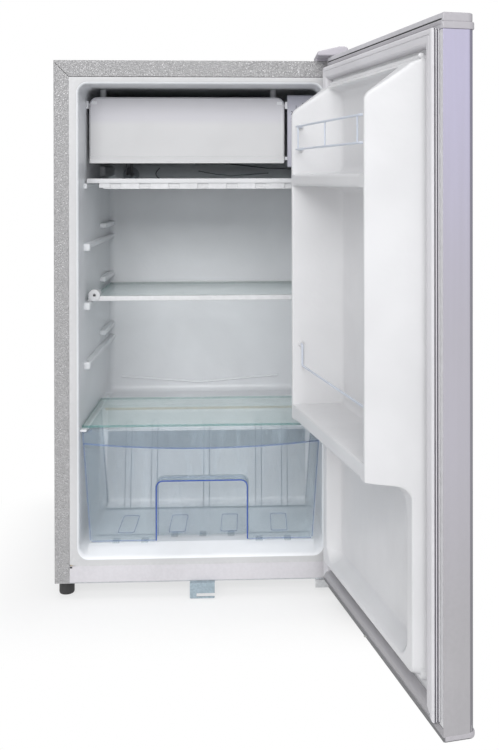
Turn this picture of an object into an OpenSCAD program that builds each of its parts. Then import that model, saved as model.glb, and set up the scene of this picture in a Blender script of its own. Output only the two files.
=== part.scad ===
// Single-door compact refrigerator with an inner freezer compartment.
// Millimetres. Origin on the floor under the middle of the cabinet, front towards -Y,
// door hinged on the +X side and stored open. Pieces of the door are drawn closed and
// then swung round the hinge axis by door_open_deg.

/* [Cabinet] */
// Width of the cabinet
cab_w = 460; // [440:1:500]
// Depth of the cabinet without door and condenser
cab_d = 410; // [400:1:480]
// Height of the cabinet without feet
cab_h = 822; // [812:1:900]
// Height of the underside above the floor
foot_h = 26; // [24:0.5:32]
// Sheet thickness of the steel case
case_t = 0.8; // [0.6:0.1:1.2]
// Width of the steel flange beside the mouth
case_flange = 23.5; // [18:0.5:25]
// Height of the steel flange above the mouth
case_top = 25.5; // [20:0.5:27]
// Thickness of the insulation behind the inner back wall
back_foam = 58; // [52:1:70]
// Distance of the feet from the front and back of the cabinet
foot_in = 31; // [26:0.5:36]
// Height of the white beam below the mouth
beam_h = 27; // [22:0.5:32]

/* [Inner liner] */
// Wall thickness of the liner
liner_t = 2; // [1.5:0.1:2.5]
// Width of the white liner rim beside the mouth
rim_side = 15; // [13:0.5:22]
// Height of the white liner rim above the mouth
rim_top = 11.5; // [10:0.5:18]
// Height of the white liner rim below the mouth
rim_bottom = 12.5; // [10:0.5:16]
// Corner radius of the mouth
mouth_r = 14; // [8:0.5:18]
// Height of the top of the lowest shelf rail above the cavity floor
rail_first = 299.5; // [286:0.5:305]
// Distance between two shelf rails
rail_pitch = 96; // [90:1:100]
// Number of shelf rail levels
rail_levels = 3; // [2:1:3]
// Height of a shelf rail
rail_h = 13; // [8:0.5:16]
// How far a rail stands out of the wall
rail_out = 10; // [7:0.5:10.5]
// Top of the ledge for the crisper glass above the cavity floor
ledge_top = 199; // [192:0.5:200]
// Height of the step over the compressor above the cavity floor
hump_h = 189; // [186:0.5:190]
// Depth of the cavity floor in front of the step
hump_front = 215; // [205:1:220]

/* [Door] */
// Thickness of the door body from its front to its inner face
door_t = 39.5; // [36:0.5:42]
// Depth of the hinge pins behind the door's inner face
hinge_pin_in = 17; // [15:0.5:19]
// Gap between the cabinet and the door's inner face, filled by the gasket
door_gap = 11; // [10:0.5:14]
// How far the door reaches above the cabinet
door_over = 3; // [2:0.5:3.5]
// How far the door reaches below the cabinet
door_under = 6.5; // [5:0.5:7]
// Sheet thickness of the door skin
skin_t = 0.8; // [0.6:0.1:1.2]
// Bend radius of the two upright front edges
skin_r = 7; // [4:0.5:9]
// Height of the top end cap
cap_top_h = 19; // [17:0.5:24]
// Height of the bottom end cap
cap_bottom_h = 16; // [14:0.5:20]
// How far the caps stand proud of the front skin
cap_proud = 2; // [1:0.5:3]
// Height of the proud lip of the top cap
cap_lip_h = 9; // [6:0.5:14]
// Opening angle at which the door is stored
door_open_deg = 102.4; // [95:0.1:112]
// Distance of the hinge axis from the door's hinge end
hinge_in = 12; // [11:0.5:14]
// Radius of the two hinge pins
pin_r = 4; // [3:0.25:4.5]
// Wall of the hinge bushes
bush_wall = 3; // [2:0.5:4]
// Depth of the pressed seat of the upper hinge
hinge_pad = 0.4; // [0.2:0.1:0.6]
// Width of the gasket
gasket_w = 20; // [16:0.5:22]
// Distance of the gasket from the edge of the door
gasket_in = 9; // [8.5:0.5:10]

/* [Door liner] */
// Depth of the side walls of the door racks
dyke_n = 74; // [66:1:76]
// Height of the raised panel inside the gasket
panel_n = 9.5; // [8:0.5:10]
// Gap between the raised panel and the mouth on each side
panel_gap = 2.5; // [2:0.5:4]
// How far a rack wall leans in from root to tip on the outside
dyke_lean = 18; // [14:0.5:20]
// Width of the tip of a rack wall
dyke_tip_w = 7; // [6:0.5:10]
// How far a rack wall leans on the inside
dyke_lean_in = 24; // [18:0.5:28]
// Height of the lower end of the rack walls above the cavity floor
dyke_low = 235.5; // [230:0.5:245]
// Height of the upper rack's floor above the liner's floor
rack_floor_top = 604.5; // [590:0.5:610]
// Thickness of the lower rack's floor
bottle_floor_t = 25; // [16:0.5:30]
// Thickness of the upper rack's floor
rack_floor_t = 21; // [14:0.5:26]
// Height of the low rim round the bottom field of the door liner
low_rim_n = 20.5; // [17:0.5:20.5]
// Wire radius of the rack rails
wire_r = 1.6; // [1.2:0.1:2]

/* [Freezer and thermostat] */
// Depth from the mouth to the front of the freezer flap
flap_set = 78; // [76:0.5:84]
// Height of the freezer flap
flap_h = 109; // [100:1:112]
// Width of the thermostat housing
thermo_w = 52; // [50:0.5:58]
// Thickness of the freezer flap
flap_t = 9; // [7:0.5:10]
// Gap between the flap and its neighbours
flap_gap = 5; // [4.5:0.25:6]
// Height of the flap's axis below its upper edge
flap_axis_down = 13; // [10:0.5:15]
// Gap between the flap and the ceiling of the cavity
flap_below_ceiling = 15; // [12:0.5:18]
// Free space behind the evaporator
evap_back = 19; // [14:1:40]
// Sheet thickness of the evaporator
evap_t = 1.6; // [1.2:0.1:2]
// Radius of the thermostat knob
knob_r = 15; // [12:0.5:16]
// How far the thermostat knob stands out
knob_l = 12; // [8:0.5:12]

/* [Shelves and trays] */
// Thickness of the glass shelves
glass_t = 4; // [3:0.5:5]
// Depth from the mouth to the front of the upper shelf
shelf_set = 69; // [69:0.5:74]
// Free space behind the shelf
shelf_back = 13; // [6:1:40]
// Side clearance of everything that slides between the walls
slide_gap = 2; // [1.5:0.25:3]
// Height of the shelf's front trim
trim_h = 8; // [7:0.5:10]
// Height of the drip tray
tray_h = 17; // [12:0.5:18]
// Free space behind the drip tray
tray_back = 23; // [19:1:45]
// Height of the top of the drip tray above the cavity floor
tray_top = 596.5; // [590:0.5:600]
// Gap between the drawer's side rims and the glass ledges
crisper_head = 0.5; // [0.5:0.5:6]
// Height of the crisper's underside above the cavity floor
crisper_up = 20; // [16:0.5:22]
// Height of the raised cavity floor under the crisper
floor_step = 15.5; // [10:0.5:15.5]
// Free space behind the crisper
crisper_back = 7; // [6:1:22]
// Length of the hold-down ribs
hold_l = 124; // [100:1:140]
// Wall thickness of the crisper
crisper_t = 2.5; // [2:0.1:3]
// How far the crisper narrows on each side from top to bottom
crisper_taper = 12; // [8:0.5:15]
// Depth from the mouth to the front of the crisper
crisper_set = 13; // [12:0.5:16]

/* [Cooling circuit] */
// Depth of the machine bay
bay_d = 150; // [146:1:154]
// Height of the machine bay above the base plate
bay_h = 198; // [190:1:199]
// Radius of the compressor shell
comp_r = 66; // [56:1:67]
// Height of the compressor shell
comp_h = 140; // [120:1:144]
// Radius of the condenser tube
cond_r = 2.4; // [2:0.1:3]
// Number of straight runs in the condenser
cond_runs = 11; // [7:2:13]
// Distance between two runs of the condenser
cond_pitch = 42; // [34:1:42]
// Number of upright wires on each face of the condenser
cond_wires = 24; // [12:1:30]

/* [Hidden] */
$fn = 48;

// clearances
fit_gap = 0.3;      // between a piece and its seat on another body
run_gap = 0.06;     // radial clearance of a pin in its bush
seat_gap = 0.05;    // radial clearance of a piece set in a hole of its own body

// cabinet
half_w = cab_w / 2;
front_y = -cab_d / 2;
rear_y = cab_d / 2;
base_z = foot_h;
top_z = foot_h + cab_h;
base_t = 1.2;
in_x = half_w - case_t;                       // inside face of the case's side
rim_x = half_w - case_flange;                 // border between steel and white rim
mouth_x = rim_x - rim_side;                   // half width of the cavity
floor_z = base_z + beam_h + rim_bottom;       // floor of the cavity
rim_top_z = top_z - case_top;
ceil_z = rim_top_z - rim_top;                 // ceiling of the cavity
rim_low_z = base_z + beam_h;
cavity_back = rear_y - back_foam;             // back wall of the cavity
wall_x = mouth_x;
hump_y = front_y + hump_front;
hump_z = floor_z + hump_h;
mitre_w = 0.6;

// machine bay
bay_y = rear_y - bay_d;
bay_z = base_z + base_t + bay_h;
bay_t = 0.8;

// rails
rail_w = rail_out;
rail_y0 = front_y + 50;
rail_y1 = cavity_back;
hold_y0 = cavity_back - hold_l;
hold_h = 9;
hold_up = 16;                                 // underside of a hold-down rib above its rail
step_z = floor_z + floor_step;
ledge_h = 4;
shelf_level = 2;                              // the shelf lies on this rail, counted from the bottom
function rail_z(i) = floor_z + rail_first + (i - 1) * rail_pitch;
ledge_z = floor_z + ledge_top;

// door, closed
door_y = front_y - door_gap;                  // inner face of the door
door_front = door_y - door_t;
door_z0 = base_z - door_under;
door_z1 = top_z + door_over;
hinge_x = half_w - hinge_in;
hinge_y = door_y - hinge_pin_in;
bush_r = pin_r + run_gap + bush_wall;
plate_t = 3;                                  // thickness of the hinge plates

// door liner
root_x = mouth_x - panel_gap;                 // half width of the raised panel
tip_x = root_x - dyke_lean;
tip_in_x = tip_x - dyke_tip_w;
root_in_x = tip_in_x - dyke_lean_in;
panel_z0 = floor_z + panel_gap;
panel_z1 = ceil_z - panel_gap;
dyke_z0 = floor_z + dyke_low;
dyke_z1 = panel_z1 - 6;
rack_z = floor_z + rack_floor_top;
bottle_floor_z = dyke_z0 + bottle_floor_t + 2;
low_rim_w = 16;

// freezer and thermostat
flap_y = front_y + flap_set;
flap_x0 = -wall_x + flap_gap;
thermo_x = wall_x - thermo_w;
flap_x1 = thermo_x - flap_gap;
flap_z1 = ceil_z - flap_below_ceiling;
flap_z0 = flap_z1 - flap_h;
flap_axis_z = flap_z1 - flap_axis_down;
flap_axis_y = flap_y + flap_t / 2;
flap_pin_r = 2.5;
flap_pin_l = 3.2;
evap_y0 = flap_y + flap_t + 14;
evap_d = cavity_back - evap_back - evap_y0;
evap_edge = 26;                               // plain border before the first channel
evap_pitch = (evap_d - 2 * evap_edge) / 5;
evap_x0 = flap_x0 + 8;
evap_x1 = flap_x1 - 8;
evap_z0 = flap_z0 + 3;
evap_z1 = flap_axis_z + 2;
thermo_z1 = flap_z1 + 4;
thermo_z0 = flap_z0 - 6;
thermo_d = 62;
thermo_t = 2;
knob_x = thermo_x + thermo_w / 2;
knob_z = thermo_z1 - 36;
shaft_r = 3;

// shelves, tray and crisper
shelf_z = rail_z(shelf_level) + fit_gap;
shelf_x = wall_x - slide_gap - 2.5;
shelf_d = cavity_back - shelf_back - front_y - shelf_set;
tray_z1 = floor_z + tray_top;
tray_y0 = front_y + shelf_set - 2;
tray_d = cavity_back - tray_back - tray_y0;
tray_lip = 8;
tray_x = wall_x - slide_gap;
tray_in = 20;                                 // the tray's body stands this far inside its lip
crisper_x = wall_x - slide_gap - 1;
crisper_z0 = floor_z + crisper_up;
crisper_h = ledge_z - ledge_h - crisper_head - crisper_z0;
crisper_y0 = front_y + crisper_set;
crisper_d = hump_y - crisper_back - crisper_y0;
arch_w = 144;
arch_h = 94;
arch_d = 26;
lip_t = 3;                                    // the band along the crisper's front stands this far out

// tubes
tube_r = 3;
cap_r = 1;
cond_y = rear_y + 14;
cond_x = half_w - 50;
cond_z0 = 285;
plug_x = 80 - half_w;
plug_z = flap_z0 - 18;
tube_up_y = evap_y0 + evap_d - 14;
comp_x = half_w - 172;
comp_y = (bay_y + rear_y) / 2 + 2;
comp_z = base_z + base_t + 12;

// ---- shared shapes ----

// upright extrusion along Y of an outline drawn in X and Z
module along_y(y0, y1) translate([0, y1, 0]) rotate([90, 0, 0]) linear_extrude(y1 - y0) children();

// extrusion along X of an outline drawn in Y and Z
module along_x(x0, x1) translate([x0, 0, 0]) rotate([90, 0, 90]) linear_extrude(x1 - x0) children();

// box from its lowest to its highest corner
module box(lo, hi) translate(lo) cube(hi - lo);

// rectangle with round corners, from corner to corner
module round_rect(lo, hi, r) {
    w = hi[0] - lo[0];
    h = hi[1] - lo[1];
    translate([lo[0] + r, lo[1]]) square([w - 2 * r, h]);
    translate([lo[0], lo[1] + r]) square([w, h - 2 * r]);
    for (x = [lo[0] + r, hi[0] - r], y = [lo[1] + r, hi[1] - r]) translate([x, y]) circle(r);
}

function heading(p, i) = (p[i + 1] - p[i]) / norm(p[i + 1] - p[i]);
function turn(p, i) = acos(heading(p, i - 1) * heading(p, i));
function cut(p, i, bend) = i == 0 || i == len(p) - 1 ? 0 : bend * tan(turn(p, i) / 2);

// round bar along a line of points, with a true bend at every corner
module rod(points, r, bend = 0) {
    b = bend > 0 ? bend : 2.5 * r;
    last = len(points) - 1;
    for (i = [0:last - 1]) {
        a = heading(points, i);
        c0 = max(cut(points, i, b) - 0.15, 0);
        c1 = max(cut(points, i + 1, b) - 0.15, 0);
        start = points[i] + a * c0;
        length = norm(points[i + 1] - points[i]) - c0 - c1;
        translate(start) rotate([0, acos(a[2]), atan2(a[1], a[0])]) cylinder(h = length, r = r);
    }
    if (last > 1) for (i = [1:last - 1]) {
        a = heading(points, i - 1);
        away = -(heading(points, i) - a * cos(turn(points, i))) / sin(turn(points, i));
        axis = cross(away, a);
        mid = points[i] - a * cut(points, i, b) - away * b;
        multmatrix([[away[0], a[0], axis[0], mid[0]], [away[1], a[1], axis[1], mid[1]],
            [away[2], a[2], axis[2], mid[2]], [0, 0, 0, 1]])
            rotate_extrude(angle = turn(points, i)) translate([b, 0]) circle(r + 0.03, $fn = 32);
    }
}

// both sides of the middle plane
module both_sides() {
    children();
    mirror([1, 0, 0]) children();
}

// swings a piece from the closed door to the stored opening angle
module on_door()
    translate([hinge_x, hinge_y, 0]) rotate(door_open_deg) translate([-hinge_x, -hinge_y, 0]) children();

// ---- cabinet ----

// U-shaped steel wrap with its front flange, mitred at the upper corners
module outer_case() color([0.72, 0.72, 0.72]) difference() {
    union() {
        both_sides() {
            box([in_x, front_y, base_z], [half_w, rear_y, top_z]);
            box([rim_x, front_y, base_z], [half_w, front_y + case_t, top_z]);
            box([in_x - 12, rear_y - case_t, base_z + base_t], [half_w, rear_y, top_z]);
        }
        box([-half_w, front_y, top_z - case_t], [half_w, rear_y, top_z]);
        box([-half_w, front_y, rim_top_z], [half_w, front_y + case_t, top_z]);
        box([-half_w, rear_y - case_t, top_z - 14], [half_w, rear_y, top_z]);
    }
    both_sides() translate([half_w, front_y - 1, top_z]) rotate([0, 45, 0])
        translate([-mitre_w / 2, 0, -40]) box([0, 0, 0], [mitre_w, 1.4, 38]);
    // pressed seat of the upper hinge and its cover
    box([cover_x0 - fit_gap, front_y - 1, top_z - hinge_pad],
        [half_w + 1, front_y + 50 + fit_gap, top_z + 1]);
}

// sheet that closes the back above the machine bay
module back_panel() color([0.62, 0.62, 0.63]) difference() {
    box([-in_x, rear_y - case_t, bay_z], [in_x, rear_y, top_z - 14]);
    both_sides() box([in_x - 12, rear_y - 2, bay_z - 1], [in_x + 1, rear_y + 1, top_z]);
    translate([plug_x, rear_y + 1, plug_z]) rotate([90, 0, 0]) cylinder(h = 4, r = 11 + seat_gap);
}

// space enclosed by the liner, grown by g
module cavity(g) {
    difference() {
        along_y(front_y - (g > 0 ? 0 : 1), cavity_back + g)
            round_rect([-wall_x - g, floor_z - g], [wall_x + g, ceil_z + g], mouth_r + g);
        along_x(-half_w, half_w) polygon([[front_y + 3, floor_z - g - 9], [front_y + 3, floor_z - g - 0.5],
            [front_y + 24, step_z - g], [hump_y + g, step_z - g], [hump_y + g, hump_z - g],
            [rear_y, hump_z - g], [rear_y, floor_z - g - 9]]);
    }
}

// insulation between case, liner and machine bay
module cabinet_foam() color([0.93, 0.86, 0.62]) difference() {
    box([-in_x, front_y + liner_t, base_z + base_t], [in_x, rear_y - case_t, top_z - case_t]);
    cavity(liner_t);
    box([-half_w, bay_y - bay_t, 0], [half_w, rear_y + 1, bay_z + bay_t]);
    box([-half_w, front_y - 1, 0], [half_w, front_y + 2.5, rim_low_z]);
    translate([plug_x, rear_y + 1, plug_z]) rotate([90, 0, 0])
        cylinder(h = back_foam + 4, r = 11 + seat_gap);
    for (x = [-foot_x, foot_x]) translate([x, foot_y, 0]) cylinder(h = base_z + 20, r = 8);
    translate([drain_x, 0, 0]) drain_line(6 + seat_gap);
    both_sides() box([in_x - 12, rear_y - 2, base_z], [in_x + 1, rear_y + 1, top_z]);
    box([-half_w, rear_y - 2, top_z - 14], [half_w, rear_y + 1, top_z]);
}

// one shelf rail with its deeper nose and the hold-down rib at the back
module rail(z) {
    box([wall_x - rail_w, rail_y0, z - rail_h], [wall_x + 0.5, rail_y0 + 16, z]);
    box([wall_x - rail_w, rail_y0, z - rail_h + 5], [wall_x + 0.5, rail_y1 + 0.5, z]);
    hold_down(z + hold_up, hold_h);
}
module hold_down(z, h) box([wall_x - rail_w, hold_y0, z], [wall_x + 0.5, rail_y1 + 0.5, z + h]);

// shallow V-shaped channel that leads condensate to the drain
module gutter() {
    for (s = [-1, 1]) translate([drain_x, cavity_back - 3, gutter_z]) rotate([0, -s * 4.5, 0])
        box([s > 0 ? -0.5 : -150, 0, 0], [s > 0 ? 150 : 0.5, 3.5, 3]);
}

// white inner liner with its rim, rails, ledges and tray guides
module inner_liner() color([0.86, 0.88, 0.9]) difference() {
    union() {
        difference() {
            union() {
                along_y(front_y, front_y + liner_t)
                    translate([-rim_x, rim_low_z]) square([2 * rim_x, rim_top_z - rim_low_z]);
                cavity(liner_t);
            }
            cavity(0);
        }
        both_sides() {
            for (i = [1:rail_levels]) rail(rail_z(i));
            box([wall_x - rail_w, front_y + 12, ledge_z - ledge_h], [wall_x + 0.5, hump_y + 70, ledge_z]);
            box([wall_x - 5, tray_y0 - 14, tray_z1 - tray_lip - 9],
                [wall_x + 0.5, tray_y0, tray_z1 - tray_lip]);
            box([wall_x - 5, tray_y0 - 14, tray_z1 - tray_lip - 5],
                [wall_x + 0.5, cavity_back + 0.5, tray_z1 - tray_lip]);
            hold_down(tray_z1 + 4, 18);
        }
        gutter();
    }
    translate([plug_x, rear_y, plug_z]) rotate([90, 0, 0]) cylinder(h = back_foam + 4, r = 11 + seat_gap);
    translate([drain_x, cavity_back + liner_t + 1, gutter_z + 8]) rotate([90, 0, 0]) cylinder(h = 6, r = 4);
}
gutter_z = floor_z + 204.5;
drain_x = -20;

// steel beam that closes the cabinet under the mouth
module bottom_beam() color([0.84, 0.83, 0.85]) {
    box([-rim_x, front_y, base_z + base_t], [rim_x, front_y + 1, rim_low_z]);
    box([-rim_x, front_y, rim_low_z - 1], [rim_x, front_y + 2.5, rim_low_z]);
}

// galvanised plate under the cabinet
foot_x = half_w - 14;
foot_y = front_y + foot_in;
rear_foot_y = rear_y - foot_in;
foot_r = 12;
stud_r = 4;
comp_bolt = [[-78, -46], [78, -46], [-78, 46], [78, 46]];
module base_plate() color([0.7, 0.71, 0.73]) difference() {
    union() {
        box([-in_x, front_y, base_z], [in_x, rear_y, base_z + base_t]);
        box([-in_x + 12, rear_y - 1, base_z], [in_x - 12, rear_y, base_z + 14]);
    }
    for (x = [-foot_x, foot_x]) translate([x, foot_y, base_z - 1]) cylinder(h = 4, r = stud_r + run_gap);
    for (b = comp_bolt) translate([comp_x + b[0], comp_y + b[1], base_z - 1]) cylinder(h = 4, r = 3);
    both_sides() box([rim_x, front_y - 1, base_z - 1], [half_w, front_y + case_t, base_z + 3]);
}

// sheet between the insulation and the machine bay
module bay_bulkhead() color([0.68, 0.69, 0.7]) difference() {
    union() {
        box([-in_x, bay_y - bay_t, base_z + base_t], [in_x, bay_y, bay_z + bay_t]);
        box([-in_x, bay_y, bay_z], [in_x, rear_y - case_t, bay_z + bay_t]);
    }
    both_sides() box([in_x - 12, rear_y - 2, bay_z - 2], [in_x + 1, rear_y, bay_z + 3]);
    translate([drain_x, 0, 0]) drain_line(6 + seat_gap);
}

// path of the drain from the gutter to the machine bay, as a solid of radius r
module drain_line(r, over = 0) rod([[0, cavity_back + liner_t + 0.5 - over, gutter_z + 8],
    [0, cavity_back + 26, gutter_z + 8], [0, cavity_back + 26, bay_z - 20 - over]], r, 15);

module drain_tube() color([0.85, 0.85, 0.83]) translate([drain_x, 0, 0]) difference() {
    drain_line(6);
    drain_line(4, 1);
}

// ---- cooling circuit ----

// welded steel shell with its base legs and tube stubs
module compressor() color([0.1, 0.1, 0.11]) difference() {
    union() {
        translate([comp_x, comp_y, comp_z]) {
            rotate_extrude($fn = 96) difference() {
                union() {
                    translate([0, 22]) square([comp_r, comp_h - 44]);
                    translate([comp_r - 22, 22]) circle(22);
                    translate([comp_r - 22, comp_h - 22]) circle(22);
                    square([comp_r - 22, comp_h]);
                }
                translate([-200, -1]) square([200, comp_h + 2]);
            }
            translate([0, 0, comp_h * 0.45]) cylinder(h = 5, r = comp_r + 2);
            for (s = [-1, 1]) box([-88, s * 46 - 12, -3], [88, s * 46 + 12, 0.5]);
        }
        rod([suction_in, suction_in + [26, 0, 0]], tube_r + 1);
        rod([discharge_at, discharge_at - [0, 16, 0]], cond_r + 1);
    }
    for (b = comp_bolt) translate([comp_x + b[0], comp_y + b[1], comp_z - 10]) cylinder(h = 14, r = 4.5);
    rod([suction_in - [1, 0, 0], suction_in + [12, 0, 0]], tube_r + seat_gap);
    rod([discharge_at + [0, 1, 0], discharge_at - [0, 8, 0]], cond_r + seat_gap);
}
discharge_at = [comp_x + 24, rear_y, comp_z + 90];
suction_in = [comp_x - comp_r - 16, comp_y, comp_z + comp_h * 0.62];

// rubber blocks between the legs and the base plate
module compressor_grommets() color([0.15, 0.15, 0.15]) for (b = comp_bolt)
    translate([comp_x + b[0], comp_y + b[1], base_z + base_t]) difference() {
        union() {
            cylinder(h = comp_z - 3 - base_z - base_t, r = 9);
            cylinder(h = comp_z + 2 - base_z - base_t, r = 4.5 - seat_gap);
        }
        translate([0, 0, -1]) cylinder(h = 40, r = 3);
    }

module compressor_bolts() color([0.75, 0.75, 0.76]) for (b = comp_bolt)
    translate([comp_x + b[0], comp_y + b[1], base_z - 1.5]) {
        cylinder(h = comp_z + 6 - base_z, r = 2.9);
        translate([0, 0, comp_z + 3.5 - base_z]) cylinder(h = 4, r = 7, $fn = 6);
        translate([0, 0, -1.5]) cylinder(h = 3, r = 6);
    }

// plastic cover over the starting relay
module relay_cover() color([0.12, 0.12, 0.13]) difference() {
    box([comp_x + comp_r - 12, comp_y - 26, comp_z + 34], [comp_x + comp_r + 34, comp_y + 26, comp_z + 92]);
    translate([comp_x, comp_y, comp_z]) cylinder(h = comp_h, r = comp_r + 2 + seat_gap, $fn = 96);
    box([comp_x, comp_y - 23, comp_z + 37], [comp_x + comp_r + 31, comp_y + 23, comp_z + 89]);
}

// serpentine condenser tube
module condenser_coil() color([0.08, 0.08, 0.08]) {
    for (i = [0:cond_runs - 1]) rod([[-cond_x, cond_y, cond_z0 + i * cond_pitch],
        [cond_x, cond_y, cond_z0 + i * cond_pitch]], cond_r);
    for (i = [0:cond_runs - 2])
        translate([i % 2 == 0 ? cond_x : -cond_x, cond_y, cond_z0 + (i + 0.5) * cond_pitch])
        rotate([90, 0, 0]) rotate([0, 0, i % 2 == 0 ? -90 : 90])
            rotate_extrude(angle = 180, $fn = 64) translate([cond_pitch / 2, 0]) circle(cond_r, $fn = 24);
    rod([[-cond_x, cond_y, cond_z0], [-cond_x - 14, cond_y, cond_z0 - 8],
        [-cond_x - 14, cond_y, drier_z1]], cond_r);
    rod([[cond_x, cond_y, cond_end_z], [cond_x + 22 + cond_pitch / 2, cond_y, cond_end_z],
        [cond_x + 22 + cond_pitch / 2, cond_y, discharge_at[2]], [discharge_at[0], cond_y, discharge_at[2]],
        discharge_at - [0, 7, 0]], cond_r);
}
cond_end_z = cond_z0 + (cond_runs - 1) * cond_pitch;
drier_z1 = 190;
drier_l = 90;

// upright wires welded to both faces of the tube
module condenser_wires() color([0.08, 0.08, 0.08]) for (i = [0:cond_wires - 1], s = [-1, 1])
    translate([-cond_x + 12 + i * wire_pitch, cond_y + s * (cond_r + 0.8), cond_z0 - 12])
        cylinder(h = (cond_runs - 1) * cond_pitch + 24, r = 0.8, $fn = 16);

// plastic clips that hold the condenser off the back, each between two wires
wire_pitch = (2 * cond_x - 24) / (cond_wires - 1);
clip_w = wire_pitch - 3.6;
module condenser_brackets() color([0.2, 0.2, 0.2]) for (s = [-1, 1], i = [1, cond_runs - 2])
    translate([s * (cond_x - 12 - 2.5 * wire_pitch), 0, cond_z0 + i * cond_pitch]) difference() {
        union() {
            box([-clip_w / 2, rear_y, -8], [clip_w / 2, cond_y + cond_r + 2, 8]);
            box([-clip_w / 2, rear_y, -16], [clip_w / 2, rear_y + 2.5, 16]);
        }
        rod([[-20, cond_y, 0], [20, cond_y, 0]], cond_r + seat_gap);
    }

// copper filter drier at the condenser's outlet
module filter_drier() color([0.72, 0.42, 0.25]) translate([-cond_x - 14, cond_y, 0]) difference() {
    union() {
        translate([0, 0, drier_z1 - drier_l + 12]) cylinder(h = drier_l - 24, r = 7);
        translate([0, 0, drier_z1 - 12]) cylinder(h = 12, r1 = 7, r2 = cond_r + 1.2);
        translate([0, 0, drier_z1 - drier_l]) cylinder(h = 12, r1 = cap_r + 1.5, r2 = 7);
    }
    translate([0, 0, drier_z1 - 6]) cylinder(h = 7, r = cond_r + seat_gap);
    translate([0, 0, drier_z1 - drier_l - 1]) cylinder(h = 7, r = cap_r + seat_gap);
}

// thin copper tube from the drier to the evaporator
cap_out_x = cond_x + 28;
module capillary_tube() color([0.75, 0.45, 0.27]) rod([[-cond_x - 14, cond_y, drier_z1 - drier_l + 5],
    [-cond_x - 14, cond_y, drier_z1 - drier_l - 14], [-cap_out_x, cond_y - 8, drier_z1 - drier_l - 14],
    [-cap_out_x, rear_y + 3, bay_z + 14.8], [plug_x - 5, rear_y + 3, bay_z + 34.8],
    [plug_x - 5, rear_y + 3, plug_z],
    [plug_x - 5, tube_up_y, plug_z], [plug_x - 5, tube_up_y, evap_z0]], cap_r, 6);

// copper tube from the evaporator back to the compressor
module suction_tube() color([0.75, 0.45, 0.27]) rod([suction_in + [11, 0, 0], suction_in - [18, 0, 0],
    [plug_x + 4, rear_y + 4, suction_in[2] + 14], [plug_x + 4, rear_y + 4, plug_z],
    [plug_x + 4, tube_up_y, plug_z], [plug_x + 4, tube_up_y, evap_z0]], tube_r);

// rubber plug where the tubes pass through the back
module tube_entry_plug() color([0.35, 0.37, 0.38]) difference() {
    union() {
        translate([plug_x, rear_y - 4, plug_z]) rotate([90, 0, 0]) cylinder(h = back_foam - 2, r = 11);
        translate([plug_x, cavity_back, plug_z]) rotate([90, 0, 0]) cylinder(h = 5, r = 15);
    }
    rod([[plug_x + 4, rear_y + 9, plug_z], [plug_x + 4, cavity_back - 20, plug_z]], tube_r + seat_gap);
    rod([[plug_x - 5, rear_y + 9, plug_z], [plug_x - 5, cavity_back - 20, plug_z]], cap_r + seat_gap);
}

// roll-bonded aluminium box that forms the freezer compartment
module evaporator_box() color([0.8, 0.81, 0.83]) {
    difference() {
        box([evap_x0, evap_y0, evap_z0], [evap_x1, evap_y0 + evap_d, evap_z1]);
        box([evap_x0 + evap_t, evap_y0 - 1, evap_z0 + evap_t],
            [evap_x1 - evap_t, evap_y0 + evap_d - evap_t, evap_z1 - evap_t]);
    }
    for (i = [0:5]) translate([0, evap_y0 + evap_edge + i * evap_pitch, evap_z1])
        box([evap_x0 + 20, 0, 0], [evap_x1 - 20, 8, 1.8]);
}

// plastic posts that hang the evaporator from the ceiling
module evaporator_hangers() color([0.88, 0.88, 0.88])
    for (x = [evap_x0 + 10, evap_x1 - 10], y = [evap_y0 + 14, evap_y0 + evap_d - 14])
        translate([x, y, evap_z1]) cylinder(h = ceil_z - evap_z1, r = 5);

// evaporation pan on top of the compressor, under the drain
module evaporation_pan() color([0.2, 0.2, 0.21]) {
    lo = [drain_x - 22, comp_y - 42, comp_z + comp_h];
    hi = [comp_x + 48, cavity_back + 42, comp_z + comp_h + 20];
    difference() {
        box(lo, hi);
        box(lo + [2, 2, 2], hi + [-2, -2, 1]);
    }
}

// bush where the supply lead enters the machine bay
module power_inlet() color([0.1, 0.1, 0.1])
    translate([inlet_x, rear_y - 1, base_z + 26]) rotate([90, 0, 0]) difference() {
        union() {
            translate([-14, -12, 0]) box([0, 0, -1], [28, 36, 3]);
            cylinder(h = 6, r = 8);
            translate([0, 0, -8]) cylinder(h = 8, r = 7);
        }
        translate([0, 0, -9]) cylinder(h = 20, r = 4);
    }
inlet_x = half_w - 40;

// ---- freezer flap and thermostat ----

// plates with the two sockets for the flap's pins and the stub for its catch
module flap_bearings() color([0.9, 0.9, 0.9]) {
    difference() {
        box([-wall_x, flap_axis_y - 6, flap_axis_z - 6], [flap_x0 - 1, flap_axis_y + 6, flap_axis_z + 6]);
        flap_axle(flap_pin_r + run_gap);
    }
    difference() {
        box([flap_x1 + 1, flap_axis_y - 6, flap_axis_z - 6], [thermo_x, flap_axis_y + 6, flap_axis_z + 6]);
        flap_axle(flap_pin_r + run_gap);
    }
}

// axle line of the flap with radius r
module flap_axle(r) rod([[flap_x0 - flap_pin_l - 0.2, flap_axis_y, flap_axis_z],
    [flap_x1 + flap_pin_l + 0.2, flap_axis_y, flap_axis_z]], r);

// spring nib that holds the flap shut
module flap_catch() color([0.88, 0.88, 0.9])
    box([thermo_x - 4.6, flap_y + 2, flap_z0 + 5], [thermo_x, flap_y + 10, flap_z0 + 11]);

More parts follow.
